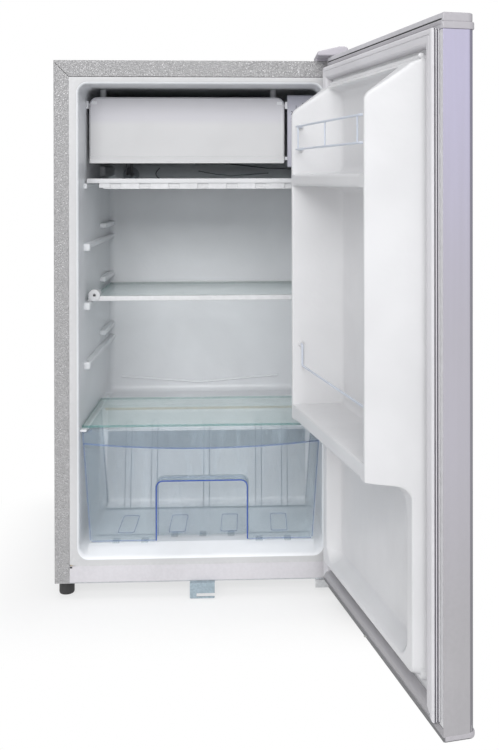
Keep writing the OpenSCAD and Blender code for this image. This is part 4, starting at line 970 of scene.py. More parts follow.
@dataclass
class Builder:
    """Turns finished parts into pieces that ride on the frame."""

    made: list[str] = field(default_factory=list)

    def piece(self, name: str, part: Mesh, finishes: Finish | Sequence[Finish], body: str,
              stands_for: Sequence[str] = (), slot: str = "", door: bool = False,
              smooth: float = 32.0) -> bpy.types.Object:
        """Makes an object of a part.

        Args:
            name: the piece's name.
            part: its mesh in millimetres; it is freed.
            finishes: its finish, or one per material index.
            body: the body it rides on.
            stands_for: the nodes it replaces.
            slot: the record's slot; not used.
            door: turns it from the closed door to the open one.
            smooth: the angle up to which faces shade as one surface.

        Returns:
            The new object.
        """
        matrix = Matrix.Scale(MM, 4) @ (DOOR_OPEN if door else Matrix.Identity(4))
        bmesh.ops.transform(part, matrix=matrix, verts=part.verts[:])
        mesh = bpy.data.meshes.new(name)
        part.to_mesh(mesh)
        part.free()
        for finish in [finishes] if isinstance(finishes, Finish) else finishes:
            mesh.materials.append(finish.material())
        mesh.polygons.foreach_set("use_smooth", [True] * len(mesh.polygons))
        mesh.set_sharp_from_angle(angle=math.radians(smooth))
        made = bpy.data.objects.new(name, mesh)
        bpy.context.scene.collection.objects.link(made)
        weigh = made.modifiers.new("weigh", "WEIGHTED_NORMAL")
        weigh.keep_sharp = True
        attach(made, body)
        if stands_for:
            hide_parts(*stands_for)
        self.made.append(name)
        return made

    def softened(self, node: str, finish: Finish, body: str, slot: str, edge: float = 0.4,
                 limit: float = 35.0) -> None:
        """Makes a copy of a node with merged faces and small rounded edges.

        Args:
            node: the node to copy and replace.
            finish: its finish.
            body: the body it rides on.
            slot: the record's slot.
            edge: width of the rounding.
            limit: the angle from which edges are rounded.
        """
        part = bmesh.new()
        part.from_mesh(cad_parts[node].data)
        bmesh.ops.remove_doubles(part, verts=part.verts[:], dist=1e-6)
        bmesh.ops.dissolve_limit(part, angle_limit=math.radians(0.5), verts=part.verts[:],
                                 edges=part.edges[:])
        bmesh.ops.transform(part, matrix=Matrix.Scale(1 / MM, 4), verts=part.verts[:])
        made = self.piece(f"{node}_soft", part, finish, body, (node,), slot)
        made.modifiers.clear()
        bevel = made.modifiers.new("edge", "BEVEL")
        bevel.width = edge * MM
        bevel.segments = 2
        bevel.limit_method = "ANGLE"
        bevel.angle_limit = math.radians(limit)
        bevel.harden_normals = False
        weigh = made.modifiers.new("weigh", "WEIGHTED_NORMAL")
        weigh.keep_sharp = True


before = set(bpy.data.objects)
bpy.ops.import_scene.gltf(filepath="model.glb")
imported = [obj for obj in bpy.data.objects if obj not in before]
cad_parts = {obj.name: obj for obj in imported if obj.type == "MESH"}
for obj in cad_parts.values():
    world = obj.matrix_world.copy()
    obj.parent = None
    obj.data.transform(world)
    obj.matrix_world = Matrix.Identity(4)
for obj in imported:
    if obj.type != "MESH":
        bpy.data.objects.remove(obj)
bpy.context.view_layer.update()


# ---- cabinet ----


@dataclass(frozen=True)
class CaseSizes:
    """Sheet-metal sizes of the outer case."""

    sheet: float = 0.8
    fold: float = 1.6
    shoulder: float = 2.6
    gap: float = 0.35
    rear_lip: float = 12.0


@dataclass
class OuterCase:
    """Embossed steel wrap with mitred front flanges."""

    builder: Builder
    sizes: CaseSizes = CaseSizes()

    def build(self) -> None:
        """Builds the wrap."""
        c = self.sizes
        part = block((-S.half_w, S.front, S.base), (S.half_w, S.rear, S.top))
        for x in (-S.rim_x, S.rim_x):
            cut(part, part.verts[:] + part.edges[:] + part.faces[:], (x, 0, 0), (1, 0, 0))
        cut(part, part.verts[:] + part.edges[:] + part.faces[:], (0, 0, S.rim_top), (0, 0, 1))
        gone = []
        for face in part.faces:
            centre = face.calc_center_median()
            inside = abs(centre.x) < S.rim_x
            if face.normal.y < -0.9 and inside and centre.z < S.rim_top:
                gone.append(face)
            elif face.normal.y > 0.9 or face.normal.z < -0.9:
                gone.append(face)
        bmesh.ops.delete(part, geom=gone, context="FACES")
        front = level(Axis.Y, S.front)
        outer = either(level(Axis.X, -S.half_w), level(Axis.X, S.half_w), level(Axis.Z, S.top))
        soften(part, c.fold, 3, every(front, outer, lambda e: not e.is_boundary))
        soften(part, c.shoulder, 4, every(along(Axis.Y), level(Axis.Z, S.top)))
        for sign in (-1, 1):
            corner = Vector((sign * S.rim_x, 0, S.rim_top))
            normal = Vector((1, 0, -sign)).normalized()
            for shift in (-c.gap, c.gap):
                flanges = [f for f in part.faces if f.normal.y < -0.95
                           and f.calc_center_median().x * sign > 0]
                edges = {e for f in flanges for e in f.edges}
                verts = {v for f in flanges for v in f.verts}
                cut(part, [*verts, *edges, *flanges], corner + normal * shift, normal)
            slit = []
            for face in part.faces:
                centre = face.calc_center_median()
                in_slit = abs((centre - corner).dot(normal)) < c.gap and abs(centre.x) > S.rim_x
                if face.normal.y < -0.95 and in_slit:
                    slit.append(face)
            bmesh.ops.delete(part, geom=slit, context="FACES")
        bmesh.ops.solidify(part, geom=part.faces[:], thickness=c.sheet)
        lips = []
        for s in (-1, 1):
            near, far = sorted((s * (S.half_w - c.rear_lip), s * (S.half_w - c.sheet)))
            lips.append(block((near, S.rear - c.sheet, S.base + 1.2), (far, S.rear, S.top - 0.8), 0.3, 2))
        near, far = -S.half_w + c.rear_lip, S.half_w - c.rear_lip
        lips.append(block((near, S.rear - c.sheet, S.top - 14), (far, S.rear, S.top - 0.8), 0.3, 2))
        self.builder.piece("case_wrap", joined(part, *lips), CASE, "cabinet", ("outer_case",), "case_steel")
        y0, y1 = S.front + c.sheet + 0.1, S.front + c.sheet + 0.7
        backing = []
        for s in (-1, 1):
            near, far = sorted((s * (S.half_w - 1), s * S.rim_x))
            backing.append(block((near, y0, S.rim_top - 1), (far, S.front + 3, S.top - 1), 0.2, 1))
        self.builder.piece("mitre_backing", joined(*backing), RUBBER, "cabinet", (), "rubber_dark")
        # Dark strips in the gap between the case flange and the liner rim: painted shadow.
        strips = [block((-S.rim_x - 2, y0, S.rim_top - 1.2), (S.rim_x + 2, y1, S.rim_top + 2), 0.2, 1)]
        for s in (-1, 1):
            near, far = sorted((s * (S.rim_x - 0.8), s * (S.rim_x + 2)))
            strips.append(block((near, y0, S.rim_low), (far, y1, S.rim_top + 2), 0.2, 1))
        self.builder.piece("case_gap_shadow", joined(*strips), RUBBER, "cabinet", (), "rubber_dark")


@dataclass(frozen=True)
class LinerSizes:
    """Radii and ribs of the inner liner."""

    mouth_r: float = 14.0
    lip_r: float = 5.0
    corner_r: float = 12.0
    wall: float = 2.0
    rail_out: float = 10.0
    rail_deep: float = 13.0
    rail_thin: float = 8.0
    rail_front: float = -155.0
    nose: float = 16.0
    levels: tuple[float, ...] = (365.0, 461.0, 557.0)
    ledge: float = 264.5
    tray_guide: float = 654.0
    hold_front: float = 23.0
    gap_side: float = 0.3
    gap_top: float = 0.9


@dataclass
class InnerLiner:
    """Thermoformed white liner with rails, ledges and guides."""

    builder: Builder
    sizes: LinerSizes = LinerSizes()

    def to_rim(self, co: Vector) -> Vector:
        """Moves a point of the mouth's edge out to the rim's rectangle.

        Args:
            co: the point.

        Returns:
            Its place on the rim.
        """
        r = self.sizes.mouth_r
        cx = max(-S.wall_x + r, min(S.wall_x - r, co.x))
        cz = max(S.floor + r, min(S.ceiling - r, co.z))
        away = Vector((co.x - cx, co.z - cz))
        away /= max(abs(away.x), abs(away.y), 1e-6)
        reach_x = S.rim_x - self.sizes.gap_side - S.wall_x + r
        reach_z = (S.rim_top - self.sizes.gap_top - S.ceiling if away.y > 0 else S.floor - S.rim_low) + r
        return Vector((cx + away.x * reach_x, co.y, cz + away.y * reach_z))

    @staticmethod
    def at_floor(edge: Edge) -> bool:
        """Tells whether an edge runs front to back where a side wall meets the floor.

        Args:
            edge: the edge to test.

        Returns:
            True for such an edge.
        """
        low = all(v.co.z < S.step + 1 and v.co.y < S.hump_y + 1 for v in edge.verts)
        at_wall = all(abs(v.co.x) > S.wall_x - 1 for v in edge.verts)
        return low and at_wall and abs((edge.verts[1].co - edge.verts[0].co).normalized().y) > 0.5

    def cavity(self) -> Mesh:
        """Builds the open space with its floor step, machine hump and rounded mouth.

        Returns:
            The liner as a sheet.
        """
        z = self.sizes
        outline = [(S.front, S.floor), (S.front + 24, S.step), (S.hump_y, S.step), (S.hump_y, S.hump_z),
                   (S.back, S.hump_z),
                   (S.back, S.ceiling), (S.front, S.ceiling)]
        part = prism(outline, Axis.X, -S.wall_x, S.wall_x)
        mouth = [f for f in part.faces if f.normal.y < -0.99 and f.calc_center_median().y < S.front + 1]
        bmesh.ops.delete(part, geom=mouth, context="FACES")
        top = every(along(Axis.Y), level(Axis.Z, S.ceiling))
        soften(part, z.mouth_r, 6, top)
        soften(part, z.mouth_r, 6, self.at_floor)
        soften(part, z.corner_r, 5, folded)
        for face in part.faces:
            face.normal_flip()
        mouth = [e for e in part.edges if e.is_boundary]
        grown = bmesh.ops.extrude_edge_only(part, edges=mouth)
        for vert in new_verts(grown):
            vert.co = self.to_rim(vert.co)
        inner = [e for e in part.edges if level(Axis.Y, S.front)(e) and folded(e)]
        bmesh.ops.bevel(part, geom=inner, offset=z.lip_r, offset_type="OFFSET", affect="EDGES", segments=4,
                        profile=0.5,
                        material=-1, clamp_overlap=True)
        outer = [e for e in part.edges if e.is_boundary]
        grown = bmesh.ops.extrude_edge_only(part, edges=outer)
        bmesh.ops.translate(part, verts=new_verts(grown), vec=(0, 2.0, 0))
        return part

    def ribs(self) -> Mesh:
        """Builds the rails, hold-downs, ledges, tray guides and drain gutter.

        Returns:
            All the ribs as one part.
        """
        z = self.sizes
        parts = []
        for s in (-1, 1):
            near, far = s * (S.wall_x - z.rail_out), s * (S.wall_x + 1.5)

            def rib(y0: float, y1: float, low: float, high: float, r: float, reach: float = 0.0) -> None:
                """Adds one rib on a side wall.

                Args:
                    y0: its front.
                    y1: its rear.
                    low: its underside.
                    high: its top.
                    r: its rounding.
                    reach: how far it stands out, or 0 for a rail's reach.
                """
                a = s * (S.wall_x - reach) if reach else near
                parts.append(block((min(a, far), y0, low), (max(a, far), y1, high), r, 3))

            for top in z.levels:
                rib(z.rail_front, z.rail_front + z.nose, top - z.rail_deep, top, 3.6)
                rib(z.rail_front + 6, S.back + 1, top - z.rail_thin, top, 2.6)
                rib(z.hold_front, S.back + 1, top + 16, top + 25, 3.0)
            rib(S.front + 12, S.hump_y + 70, z.ledge - 4, z.ledge, 1.6)
            rib(-152, -138, z.tray_guide - 9, z.tray_guide, 2.4, 5.0)
            rib(-152, S.back + 1, z.tray_guide - 5, z.tray_guide, 1.8, 5.0)
            rib(z.hold_front, S.back + 1, 666, 684, 3.4)
            part = block((-150 if s < 0 else -0.5, -0.5, 0), (0.5 if s < 0 else 150, 3.5, 3), 1.0, 2)
            turn = Matrix.Translation((-20, S.back - 3, 270)) @ Matrix.Rotation(math.radians(-s * 4.5), 4,
                                                                                "Y")
            bmesh.ops.transform(part, matrix=turn, verts=part.verts[:])
            parts.append(part)
        return joined(*parts)

    def build(self) -> None:
        """Builds the liner with its wall thickness."""
        part = self.cavity()
        # The rim's front faces take the darker copy: painted shade.
        rim = [f for f in part.faces if f.calc_center_median().y < S.front + 0.4 and abs(f.normal.y) > 0.9]
        for face in rim:
            face.material_index = 1
        bmesh.ops.solidify(part, geom=part.faces[:], thickness=self.sizes.wall)
        self.builder.piece("liner_shell", joined(part, self.ribs()), (LINER, LINER_RIM_SHADE), "cabinet",
                           ("inner_liner",), "liner_white")


@dataclass(frozen=True)
class BeamSizes:
    """Folds and notch of the front beam."""

    foot: float = 1.2
    sheet: float = 1.4
    fold: float = 2.5
    notch_end: float = 4.2
    notch_low: float = 3.4
    notch_high: float = 0.6


@dataclass
class FrontBeam:
    """White lacquered beam under the mouth."""

    builder: Builder
    sizes: BeamSizes = BeamSizes()

    def build(self) -> None:
        """Builds the beam with its folded upper edge and a dark patch of painted shade for the notch at the
        left end.
        """
        b = self.sizes
        x = S.rim_x
        part = block((-x, S.front, S.base + b.foot), (x, S.front + b.sheet, S.rim_low), 0.5, 2)
        edge = block((-x, S.front + 0.2, S.rim_low - 1.2), (x, S.front + b.fold, S.rim_low), 0.4, 2)
        self.builder.piece("front_beam", joined(part, edge), BEAM, "cabinet", ("bottom_beam",),
                           "beam_white")
        # A dark patch of painted shade stands for the notch.
        low, high = S.rim_low - b.notch_low, S.rim_low - b.notch_high
        dark = block((-x + 0.3, S.front - 0.15, low), (-x + b.notch_end, S.front + 0.6, high), 0.15, 1)
        self.builder.piece("beam_notch_shade", dark, RUBBER, "cabinet", (), "rubber_dark")


# ---- door ----


@dataclass(frozen=True)
class DoorLinerSizes:
    """Heights above the door's inner plane and the places of the racks."""

    root_x: float = 189.0
    tip_in_x: float = 164.0
    root_in_x: float = 140.0
    panel: float = 9.5
    panel_low: float = 68.0
    panel_high: float = 808.5
    deep: float = 74.0
    wall_low: float = 76.0
    wall_high: float = 802.5
    rim: float = 20.5
    low_field: tuple[float, float, float] = (159.0, 98.0, 277.0)
    low_slab: tuple[float, float] = (303.0, 328.0)
    high_slab: tuple[float, float] = (649.0, 670.0)
    rack_top: float = 792.0
    cove: float = 12.0
    brow: float = 7.0


@dataclass
class DoorLiner:
    """Vacuum-formed door liner: one skin that rises to rack walls and floors."""

    builder: Builder
    sizes: DoorLinerSizes = DoorLinerSizes()

    @staticmethod
    def inside(a: float, z: float, half: float, low: float, high: float, corner: float) -> float:
        """Returns how deep a point lies inside a rounded rectangle, negative outside it.

        Args:
            a: distance from the middle.
            z: level.
            half: half width.
            low: lower side.
            high: upper side.
            corner: corner radius.

        Returns:
            The depth.
        """
        over_x = a - half + corner
        over_z = abs(z - (low + high) / 2) - (high - low) / 2 + corner
        outside = math.hypot(max(over_x, 0.0), max(over_z, 0.0)) + min(max(over_x, over_z), 0.0)
        return corner - outside

    @staticmethod
    def cove(past: float, radius: float, slope: float) -> float:
        """Returns the height of a wall with a hollow fillet, past its foot line.

        Args:
            past: distance past the foot line.
            radius: the fillet.
            slope: rise of the wall above it.

        Returns:
            The height.
        """
        if past <= -radius:
            return 0.0
        if past < 0.0:
            return radius - math.sqrt(radius * radius - (past + radius) ** 2)
        return radius + past * slope

    def crest(self, z: float) -> float:
        """Returns the height that the walls' crest has at a level.

        Args:
            z: the level.

        Returns:
            The height.
        """
        d = self.sizes
        if z < 284.0:
            return d.rim
        if z < 301.0:
            return d.rim + 24.0 * (1.0 - math.sqrt(1.0 - ((z - 284.0) / 17.0) ** 2))
        under = d.rim + 24.0 + (z - 301.0) * 9.0
        drop = d.wall_high - z
        stops = ((-30.0, 9.0), (0.0, 9.5), (6.0, 24.0), (8.0, 25.0), (33.0, 61.0), (60.0, 100.0),
                 (900.0, 900.0))
        over = 900.0
        for (a, low), (b, high) in zip(stops, stops[1:]):
            if a <= drop <= b:
                over = low + (high - low) * (drop - a) / (b - a)
        return smooth_min(smooth_min(under, over, 4.0), d.deep, 9.0)

    def pit(self, a: float, z: float, low: float, high: float, open_top: bool) -> float:
        """Returns the height of the walls round one rack's back field.

        Args:
            a: distance from the middle.
            z: level.
            low: floor of the field.
            high: its upper end.
            open_top: gives a long slope at the upper end.

        Returns:
            The height.
        """
        d = self.sizes
        lateral = smooth_max((a - d.root_in_x) * d.deep / (d.tip_in_x - d.root_in_x), 0.0, 36.0)
        floor = self.cove(low - z, d.cove, 30.0)
        roof = self.cove(z - high, d.cove * 1.4, 1.2) if open_top else self.cove(z - high, d.cove, 30.0)
        return 1.0 + smooth_max(lateral, max(floor, roof), 10.0)

    def slab(self, z: float) -> float:
        """Returns the height limit of the rack floors, rounded at their front edges.

        Args:
            z: the level.

        Returns:
            The height limit.
        """
        d = self.sizes
        best = d.deep
        for low, high in (d.low_slab, d.high_slab):
            reach = min(z - low, high - z) if low - 1.5 <= z <= high + 1.5 else d.brow
            if reach < d.brow:
                best = min(best, d.deep - d.brow + math.sqrt(max(d.brow ** 2 - (d.brow - max(reach,
                                                                                             0.0)) ** 2,
                                                                 0.0)))
        return best

    def height(self, x: float, z: float) -> float:
        """Returns the height of the skin above the door's inner plane.

        Args:
            x: place across the door.
            z: level.

        Returns:
            The height.
        """
        d = self.sizes
        a = abs(x)
        edge = self.inside(a, z, d.root_x + 1.5, d.panel_low, d.panel_high, 12.0)
        panel = smooth_min(max(edge, 0.0) * 3.0, d.panel, 5.0)
        wall = d.panel + self.inside(a, z, d.root_x, d.wall_low, d.wall_high + 40.0, 14.0) * 3.58
        body = smooth_min(wall, self.crest(z), 6.0)
        field = self.inside(a, z, *d.low_field, 20.0)
        low_pit = 1.0 + smooth_max(-field * 2.3, 0.0, 14.0)
        rack_low = self.pit(a, z, d.low_slab[1], d.high_slab[0], False)
        rack_high = self.pit(a, z, d.high_slab[1], d.rack_top, True)
        hollow = min(low_pit if z < 300.0 else 900.0, rack_low if z > 310.0 else 900.0,
                     rack_high if z > 655.0 else 900.0)
        if a < d.tip_in_x:
            body = smooth_min(body, self.slab(z) + max(a - 150.0, 0.0) * 0.5, 1.0)
        top = smooth_max(panel, body, 3.0)
        return max(smooth_min(top, hollow, 5.0), 0.0) if edge > 0.0 else max(panel, 0.0)

    @staticmethod
    def steps(stops: Sequence[tuple[float, float]]) -> list[float]:
        """Returns levels that run from stop to stop, each with its own spacing.

        Args:
            stops: each stop with the spacing before it.

        Returns:
            The levels.
        """
        out = [stops[0][0]]
        for (a, _), (b, gap) in zip(stops, stops[1:]):
            count = max(1, round((b - a) / gap))
            out += [a + (b - a) * i / count for i in range(1, count + 1)]
        return out

    def build_skin(self) -> None:
        """Builds the liner's skin with its thickness."""
        xs = self.steps([(0, 10), (116, 10), (134, 3), (160, 1.9), (174, 0.9), (184, 1.4), (192, 0.9),
                         (202, 4)])
        xs = [-x for x in reversed(xs[1:])] + xs
        zs = self.steps([(57, 5), (66, 1.5), (84, 1.2), (106, 2.2), (262, 9), (278, 2.4), (300, 1.4),
                         (312, 0.8), (320, 2),
                         (331, 0.8), (346, 3), (630, 9), (646, 2.4), (658, 0.8), (661, 2), (673, 0.8),
                         (690, 3),
                         (740, 6), (772, 2.2), (798, 1.6), (812, 0.9), (820, 4)])
        part = bmesh.new()
        bmesh.ops.create_grid(part, x_segments=len(xs) - 1, y_segments=len(zs) - 1, size=1.0)
        for vert in part.verts:
            i = round((vert.co.x + 1) / 2 * (len(xs) - 1))
            j = round((vert.co.y + 1) / 2 * (len(zs) - 1))
            vert.co = Vector((xs[i], S.door_inner + self.height(xs[i], zs[j]), zs[j]))
        bmesh.ops.recalc_face_normals(part, faces=part.faces[:])
        if sum(f.normal.y for f in part.faces) < 0:
            bmesh.ops.reverse_faces(part, faces=part.faces[:])
        bmesh.ops.solidify(part, geom=part.faces[:], thickness=1.2)
        self.builder.piece("door_liner_skin", part, DOOR_LINER, "door", ("door_liner",), "door_liner_white",
                           True, 50)

    def build_marks(self) -> None:
        """Builds the small boss at the panel's upper corner and the two screws at its foot."""
        y = S.door_inner
        boss = lathe([(0, 2.6), (1.6, 2.3), (2.8, 1.2), (3.2, 0.0), (3.2, -3.0), (0, -3.0)],
                     (-185.0, y + 10.0, 806.0), Axis.Y, 28)
        self.builder.piece("liner_boss", boss, DOOR_LINER, "door", (), "door_liner_white", True)
        heads = []
        for s in (-1, 1):
            heads.append(lathe([(0, 1.3), (1.4, 1.2), (2.4, 0.7), (2.7, 0.0), (2.7, -1.0), (0, -1.0)],
                               (s * 196.5, y + 0.9, 62.5), Axis.Y, 24))
        self.builder.piece("liner_screws", joined(*heads), INK, "door", (), "black_plastic", True)

    def build(self) -> None:
        """Builds the skin and its small marks."""
        self.build_skin()
        self.build_marks()


@dataclass(frozen=True)
class GasketSizes:
    """Cross-section of the door gasket."""

    inset: float = 9.0
    width: float = 20.0
    height: float = 10.7


@dataclass
class Gasket:
    """Ribbed magnetic gasket, one closed frame."""

    builder: Builder
    sizes: GasketSizes = GasketSizes()

    def ring(self, inset: float, height: float, corner: float) -> list[Vector]:
        """Returns one rounded rectangle of the frame.

        Args:
            inset: distance from the door's edge.
            height: distance from its inner plane.
            corner: corner radius.

        Returns:
            The points in order.
        """
        low, high = S.door_low + inset + 8, S.door_high - inset - 8
        half = S.half_w - inset
        out = []
        for cx, cz, start in ((half, high, 0), (-half, high, 1), (-half, low, 2), (half, low, 3)):
            sx, sz = (1 if cx > 0 else -1), (1 if cz > 450 else -1)
            for k in range(4):
                a = (start + k / 3) * math.pi / 2
                x, z = cx - sx * corner + math.cos(a) * corner, cz - sz * corner + math.sin(a) * corner
                out.append(Vector((x, S.door_inner + height, z)))
        return out

    def build(self) -> None:
        """Builds the gasket by bridging its profile round the door."""
        g = self.sizes
        a, b, h = g.inset, g.inset + g.width, g.height
        profile = [(a + 1.5, 0.1), (a + 0.3, 0.8), (a + 0.3, 2.0), (a + 3.0, 2.5), (a + 3.0, 3.7),
                   (a + 0.2, 4.2),
                   (a + 0.2, 5.3), (a + 3.0, 5.8), (a + 3.0, 6.8), (a, 7.3), (a, 8.9), (a + 1.0, h - 0.6),
                   (a + 2.4, h - 0.1), (a + 4.0, h), (a + 6.2, h), (a + 6.8, h - 0.9), (a + 7.6, h - 0.9),
                   (a + 8.2, h),
                   (b - 5.0, h), (b - 3.0, h - 0.7), (b - 1.2, h - 3.2), (b - 0.4, 3.2), (b, 0.5),
                   (b - 0.8, 0.1)]
        part = loft([self.ring(inset, n, 3.0 if inset < 20 else 1.5) for inset, n in profile], wrap=True)
        # Groove faces and the bottom run take darker copies, darkest at the run's foot: painted shade.
        for face in part.faces:
            n = face.calc_center_median().y - S.door_inner
            z = face.calc_center_median().z - S.door_low - a - 8
            if 2.1 < n < 4.1 or 5.45 < n < 7.2:
                face.material_index = 1
            elif z < g.width + 0.6 and n > 0.5:
                face.material_index = 3 if z < 5.5 else 2
        self.builder.piece("gasket_frame", part, (GASKET, GASKET_GROOVE_SHADE, GASKET_LOW_SHADE, CAP_LOW_SHADE), "door",
                           ("door_gasket",), "gasket_grey", True, 40)


@dataclass(frozen=True)
class ShellSizes:
    """Levels of the door's seams and the clearances round its core."""

    core_gap: float = 3.0
    core_low: float = 37.0
    crown: float = 10.0
    crown_lap: float = 0.5
    foot_proud: float = 2.0
    groove: tuple[float, float] = (8.6, 6.4)
    rail: tuple[float, float] = (13.4, 9.4)
    cap_lap: float = 2.2
    low_proud: float = 1.6
    cap_high: float = 35.5
    seam: tuple[float, float] = (35.2, 36.4)
    # Where the dark strip of painted shadow lies under the liner's panel.
    gap_shadow_x: tuple[float, float] = (-70.0, 200.0)
    channel: tuple[float, float] = (56.9, 60.4)
    flange_low: float = 36.0


@dataclass
class DoorShell:
    """Door skin, end caps, the seam line and a strip of painted shadow beside the gasket."""

    builder: Builder
    sizes: ShellSizes = ShellSizes()

    @staticmethod
    def outline(grow: float, proud: float = 0.0) -> list[Flat]:
        """Returns the door seen from above, grown all round and moved out at the front."""
        half, front = S.half_w + grow, S.door_front - proud - grow
        return [(-half, S.door_inner), (-half, front), (half, front), (half, S.door_inner)]

    def slab(self, low: float, high: float, grow: float, proud: float, r: float, edge: float) -> Mesh:
        """Returns a length of the door body with rounded outer corners.

        Args:
            low: lower end.
            high: upper end.
            grow: growth all round.
            proud: how far it stands out at the front.
            r: radius of the outer corners.
            edge: rounding of the other edges.

        Returns:
            The new part.
        """
        part = prism(self.outline(grow, proud), Axis.Z, low, high)
        soften(part, r, 6, every(along(Axis.Z), level(Axis.Y, S.door_front - proud - grow)))
        if edge > 0:
            soften(part, edge, 2, lambda e: abs(e.calc_face_angle(0.0)) > 0.9)
        return part

    def build_skin(self) -> None:
        """Builds the painted skin, with painted shade round its outer corners, and the foam slab inside it.
        """
        skin = self.slab(S.skin_low, S.skin_high, 0.0, 0.0, S.skin_r, 0.5)
        # Faces on the rounded outer corners take the darker copy: painted shade.
        for face in skin.faces:
            if face.normal.y < -0.2 and abs(face.normal.x) > 0.12:
                face.material_index = 1
        self.builder.piece("door_panel", skin, (DOOR_PAINT, DOOR_EDGE_SHADE), "door", ("door_skin",),
                           "door_lilac", True, 25)
        d = self.sizes
        x = S.half_w - d.core_gap
        core = block((-x, S.door_front + d.core_gap, d.core_low), (x, S.door_inner - 2.4, S.skin_high - 2),
                     1.0, 2)
        self.builder.piece("door_core", core, FOAM, "door", ("door_foam",), "insulation", True)

    def build_top_cap(self) -> None:
        """Builds the upper cap: a thick foot, a set-back crown, an inner face in painted light and a groove
        line of painted shade on it.
        """
        d = self.sizes
        x, y, z = S.half_w, S.door_inner, S.door_high
        top = self.slab(S.skin_high + 0.3, z - d.crown, -0.05, d.foot_proud, S.skin_r, 1.2)
        upper = self.slab(z - d.crown - d.crown_lap, z, -0.1, 0.0, S.skin_r, 1.6)
        # The inner faces take the lighter copy: painted light.
        for part in (top, upper):
            for face in part.faces:
                if face.normal.y > 0.9:
                    face.material_index = 1
        self.builder.piece("cap_top", joined(top, upper), (CAP, CAP_INNER_LIGHT), "door", ("door_cap_top",),
                           "cap_grey", True, 30)
        # A dark strip of painted shade marks the groove.
        line = block((-x + 4.0, y - 0.6, z - d.groove[0]), (x - 4.0, y + 0.06, z - d.groove[1]), 0.2, 1)
        self.builder.piece("cap_top_groove_shade", line, RUBBER, "door", (), "rubber_dark", True)
        rail = block((-x + 3.0, y - 0.6, z - d.rail[0]), (x - 3.0, y + 0.5, z - d.rail[1]), 0.4, 2)
        self.builder.piece("cap_top_rail", rail, CAP, "door", (), "cap_grey", True)

    def build_bottom_cap(self) -> None:
        """Builds the lower cap, with painted shade on its underside and inner face, and the seam and a
        strip of painted shadow under the liner.
        """
        d = self.sizes
        x, y = S.half_w, S.door_inner
        bottom = self.slab(S.door_low, S.skin_low + d.cap_lap, 0.3, d.low_proud, S.skin_r, 2.0)
        # Faces turned into the door or down take the dark copy: painted shade.
        for face in bottom.faces:
            if face.normal.y > 0.3 or (face.normal.z < -0.3
                                       and face.calc_center_median().y > S.door_front + 4):
                face.material_index = 1
        inner = block((-x + 1, S.door_front + 4, S.door_low + 6.0), (x - 1, y + 0.35, d.cap_high), 0.6, 2)
        for face in inner.faces:
            face.material_index = 2
        finishes = (CAP, CAP_LOW_SHADE, CAP_SHADE)
        self.builder.piece("cap_bottom", joined(bottom, inner), finishes, "door", ("door_cap_bottom",),
                           "cap_grey", True, 30)
        seam = block((-x + 1.0, y - 0.5, d.seam[0]), (x - 1.0, y + 0.05, d.seam[1]), 0.15, 1)
        # A dark strip of painted shadow in the gap between the liner's panel and the gasket.
        left, right = d.gap_shadow_x
        channel = block((left, y - 0.3, d.channel[0]), (right, y + 0.2, d.channel[1]), 0.15, 1)
        self.builder.piece("cap_bottom_seam_and_shadow", joined(seam, channel), RUBBER, "door", (), "rubber_dark",
                           True)

    def build(self) -> None:
        """Builds the skin, both caps and the liner's flat border."""
        self.build_skin()
        self.build_top_cap()
        self.build_bottom_cap()
        x, y = S.half_w, S.door_inner
        low, high = self.sizes.flange_low, S.skin_high - 0.3
        flange = block((-x + 0.6, y - 2, low), (x - 0.6, y + 0.05, high), 0.3, 1)
        self.builder.piece("door_liner_flange", flange, DOOR_LINER, "door", (), "door_liner_white", True)


@dataclass(frozen=True)
class RailSizes:
    """Places of the wires across the racks."""

    low: float = 704.6
    high: float = 738.0
    drop: float = 385.0
    rise: float = 416.0
    wall_n: float = 62.0
    front_n: float = 72.0
    end: float = 170.0
    tip: float = 164.0
    upright: float = 138.0
    radius: float = 1.6


@dataclass
class RackRails:
    """Coated wires across the door racks with their eyelets."""

    builder: Builder
    sizes: RailSizes = RailSizes()

    def mirrored(self, half: Sequence[Point]) -> list[Point]:
        """Returns a line of points and its mirror image, joined in the middle."""
        return [(-x, y, z) for x, y, z in reversed(half)] + list(half)

    def build(self) -> None:
        """Builds both wires and the eyelets."""
        w = self.sizes
        y0, y1 = S.door_inner + w.wall_n, S.door_inner + w.front_n
        upper = []
        for z in (w.low, w.high):
            half = [(w.tip - 15, y1, z), (w.tip - 10, y0, z), (w.end, y0, z)]
            upper.append(bar(self.mirrored(half), w.radius, 12, 4.0))
        for x in (-w.upright, 0.0, w.upright):
            upper.append(bar([(x, y1, w.low), (x, y1, w.high)], 1.15, 10))
        self.builder.piece("upper_wires", joined(*upper), WIRE, "door", ("upper_rack_rail",), "wire_chrome",
                           True)
        half = [(w.tip - 11.5, y0, w.drop), (w.tip - 11.5, y0, w.rise), (w.end, y0, w.rise)]
        lower = bar(self.mirrored(half), w.radius, 12, 4.0)
        self.builder.piece("lower_wire", lower, WIRE, "door", ("lower_rack_rail",), "wire_chrome", True)
        rings = []
        for s in (-1, 1):
            for z in (w.low, w.high, w.rise):
                profile = [(1.7, 0), (3.4, 0), (4.3, 0.7), (4.5, 1.6), (4.5, 8.0), (1.7, 8.0)]
                ring = lathe([(r, h * s) for r, h in profile], (s * (w.tip - 7), y0, z), Axis.X, 28)
                rings.append(ring)
        self.builder.piece("wire_eyelets", joined(*rings), DOOR_LINER, "door", ("rail_eyelets",),
                           "door_liner_white", True)


# ---- freezer ----


@dataclass(frozen=True)
class FlapSizes:
    """Freezer flap seen from the front."""

    x0: float = -186.5
    x1: float = 134.5
    z0: float = 687.0
    z1: float = 796.0
    y: float = -127.0
    thick: float = 9.0
    corner: float = 13.0


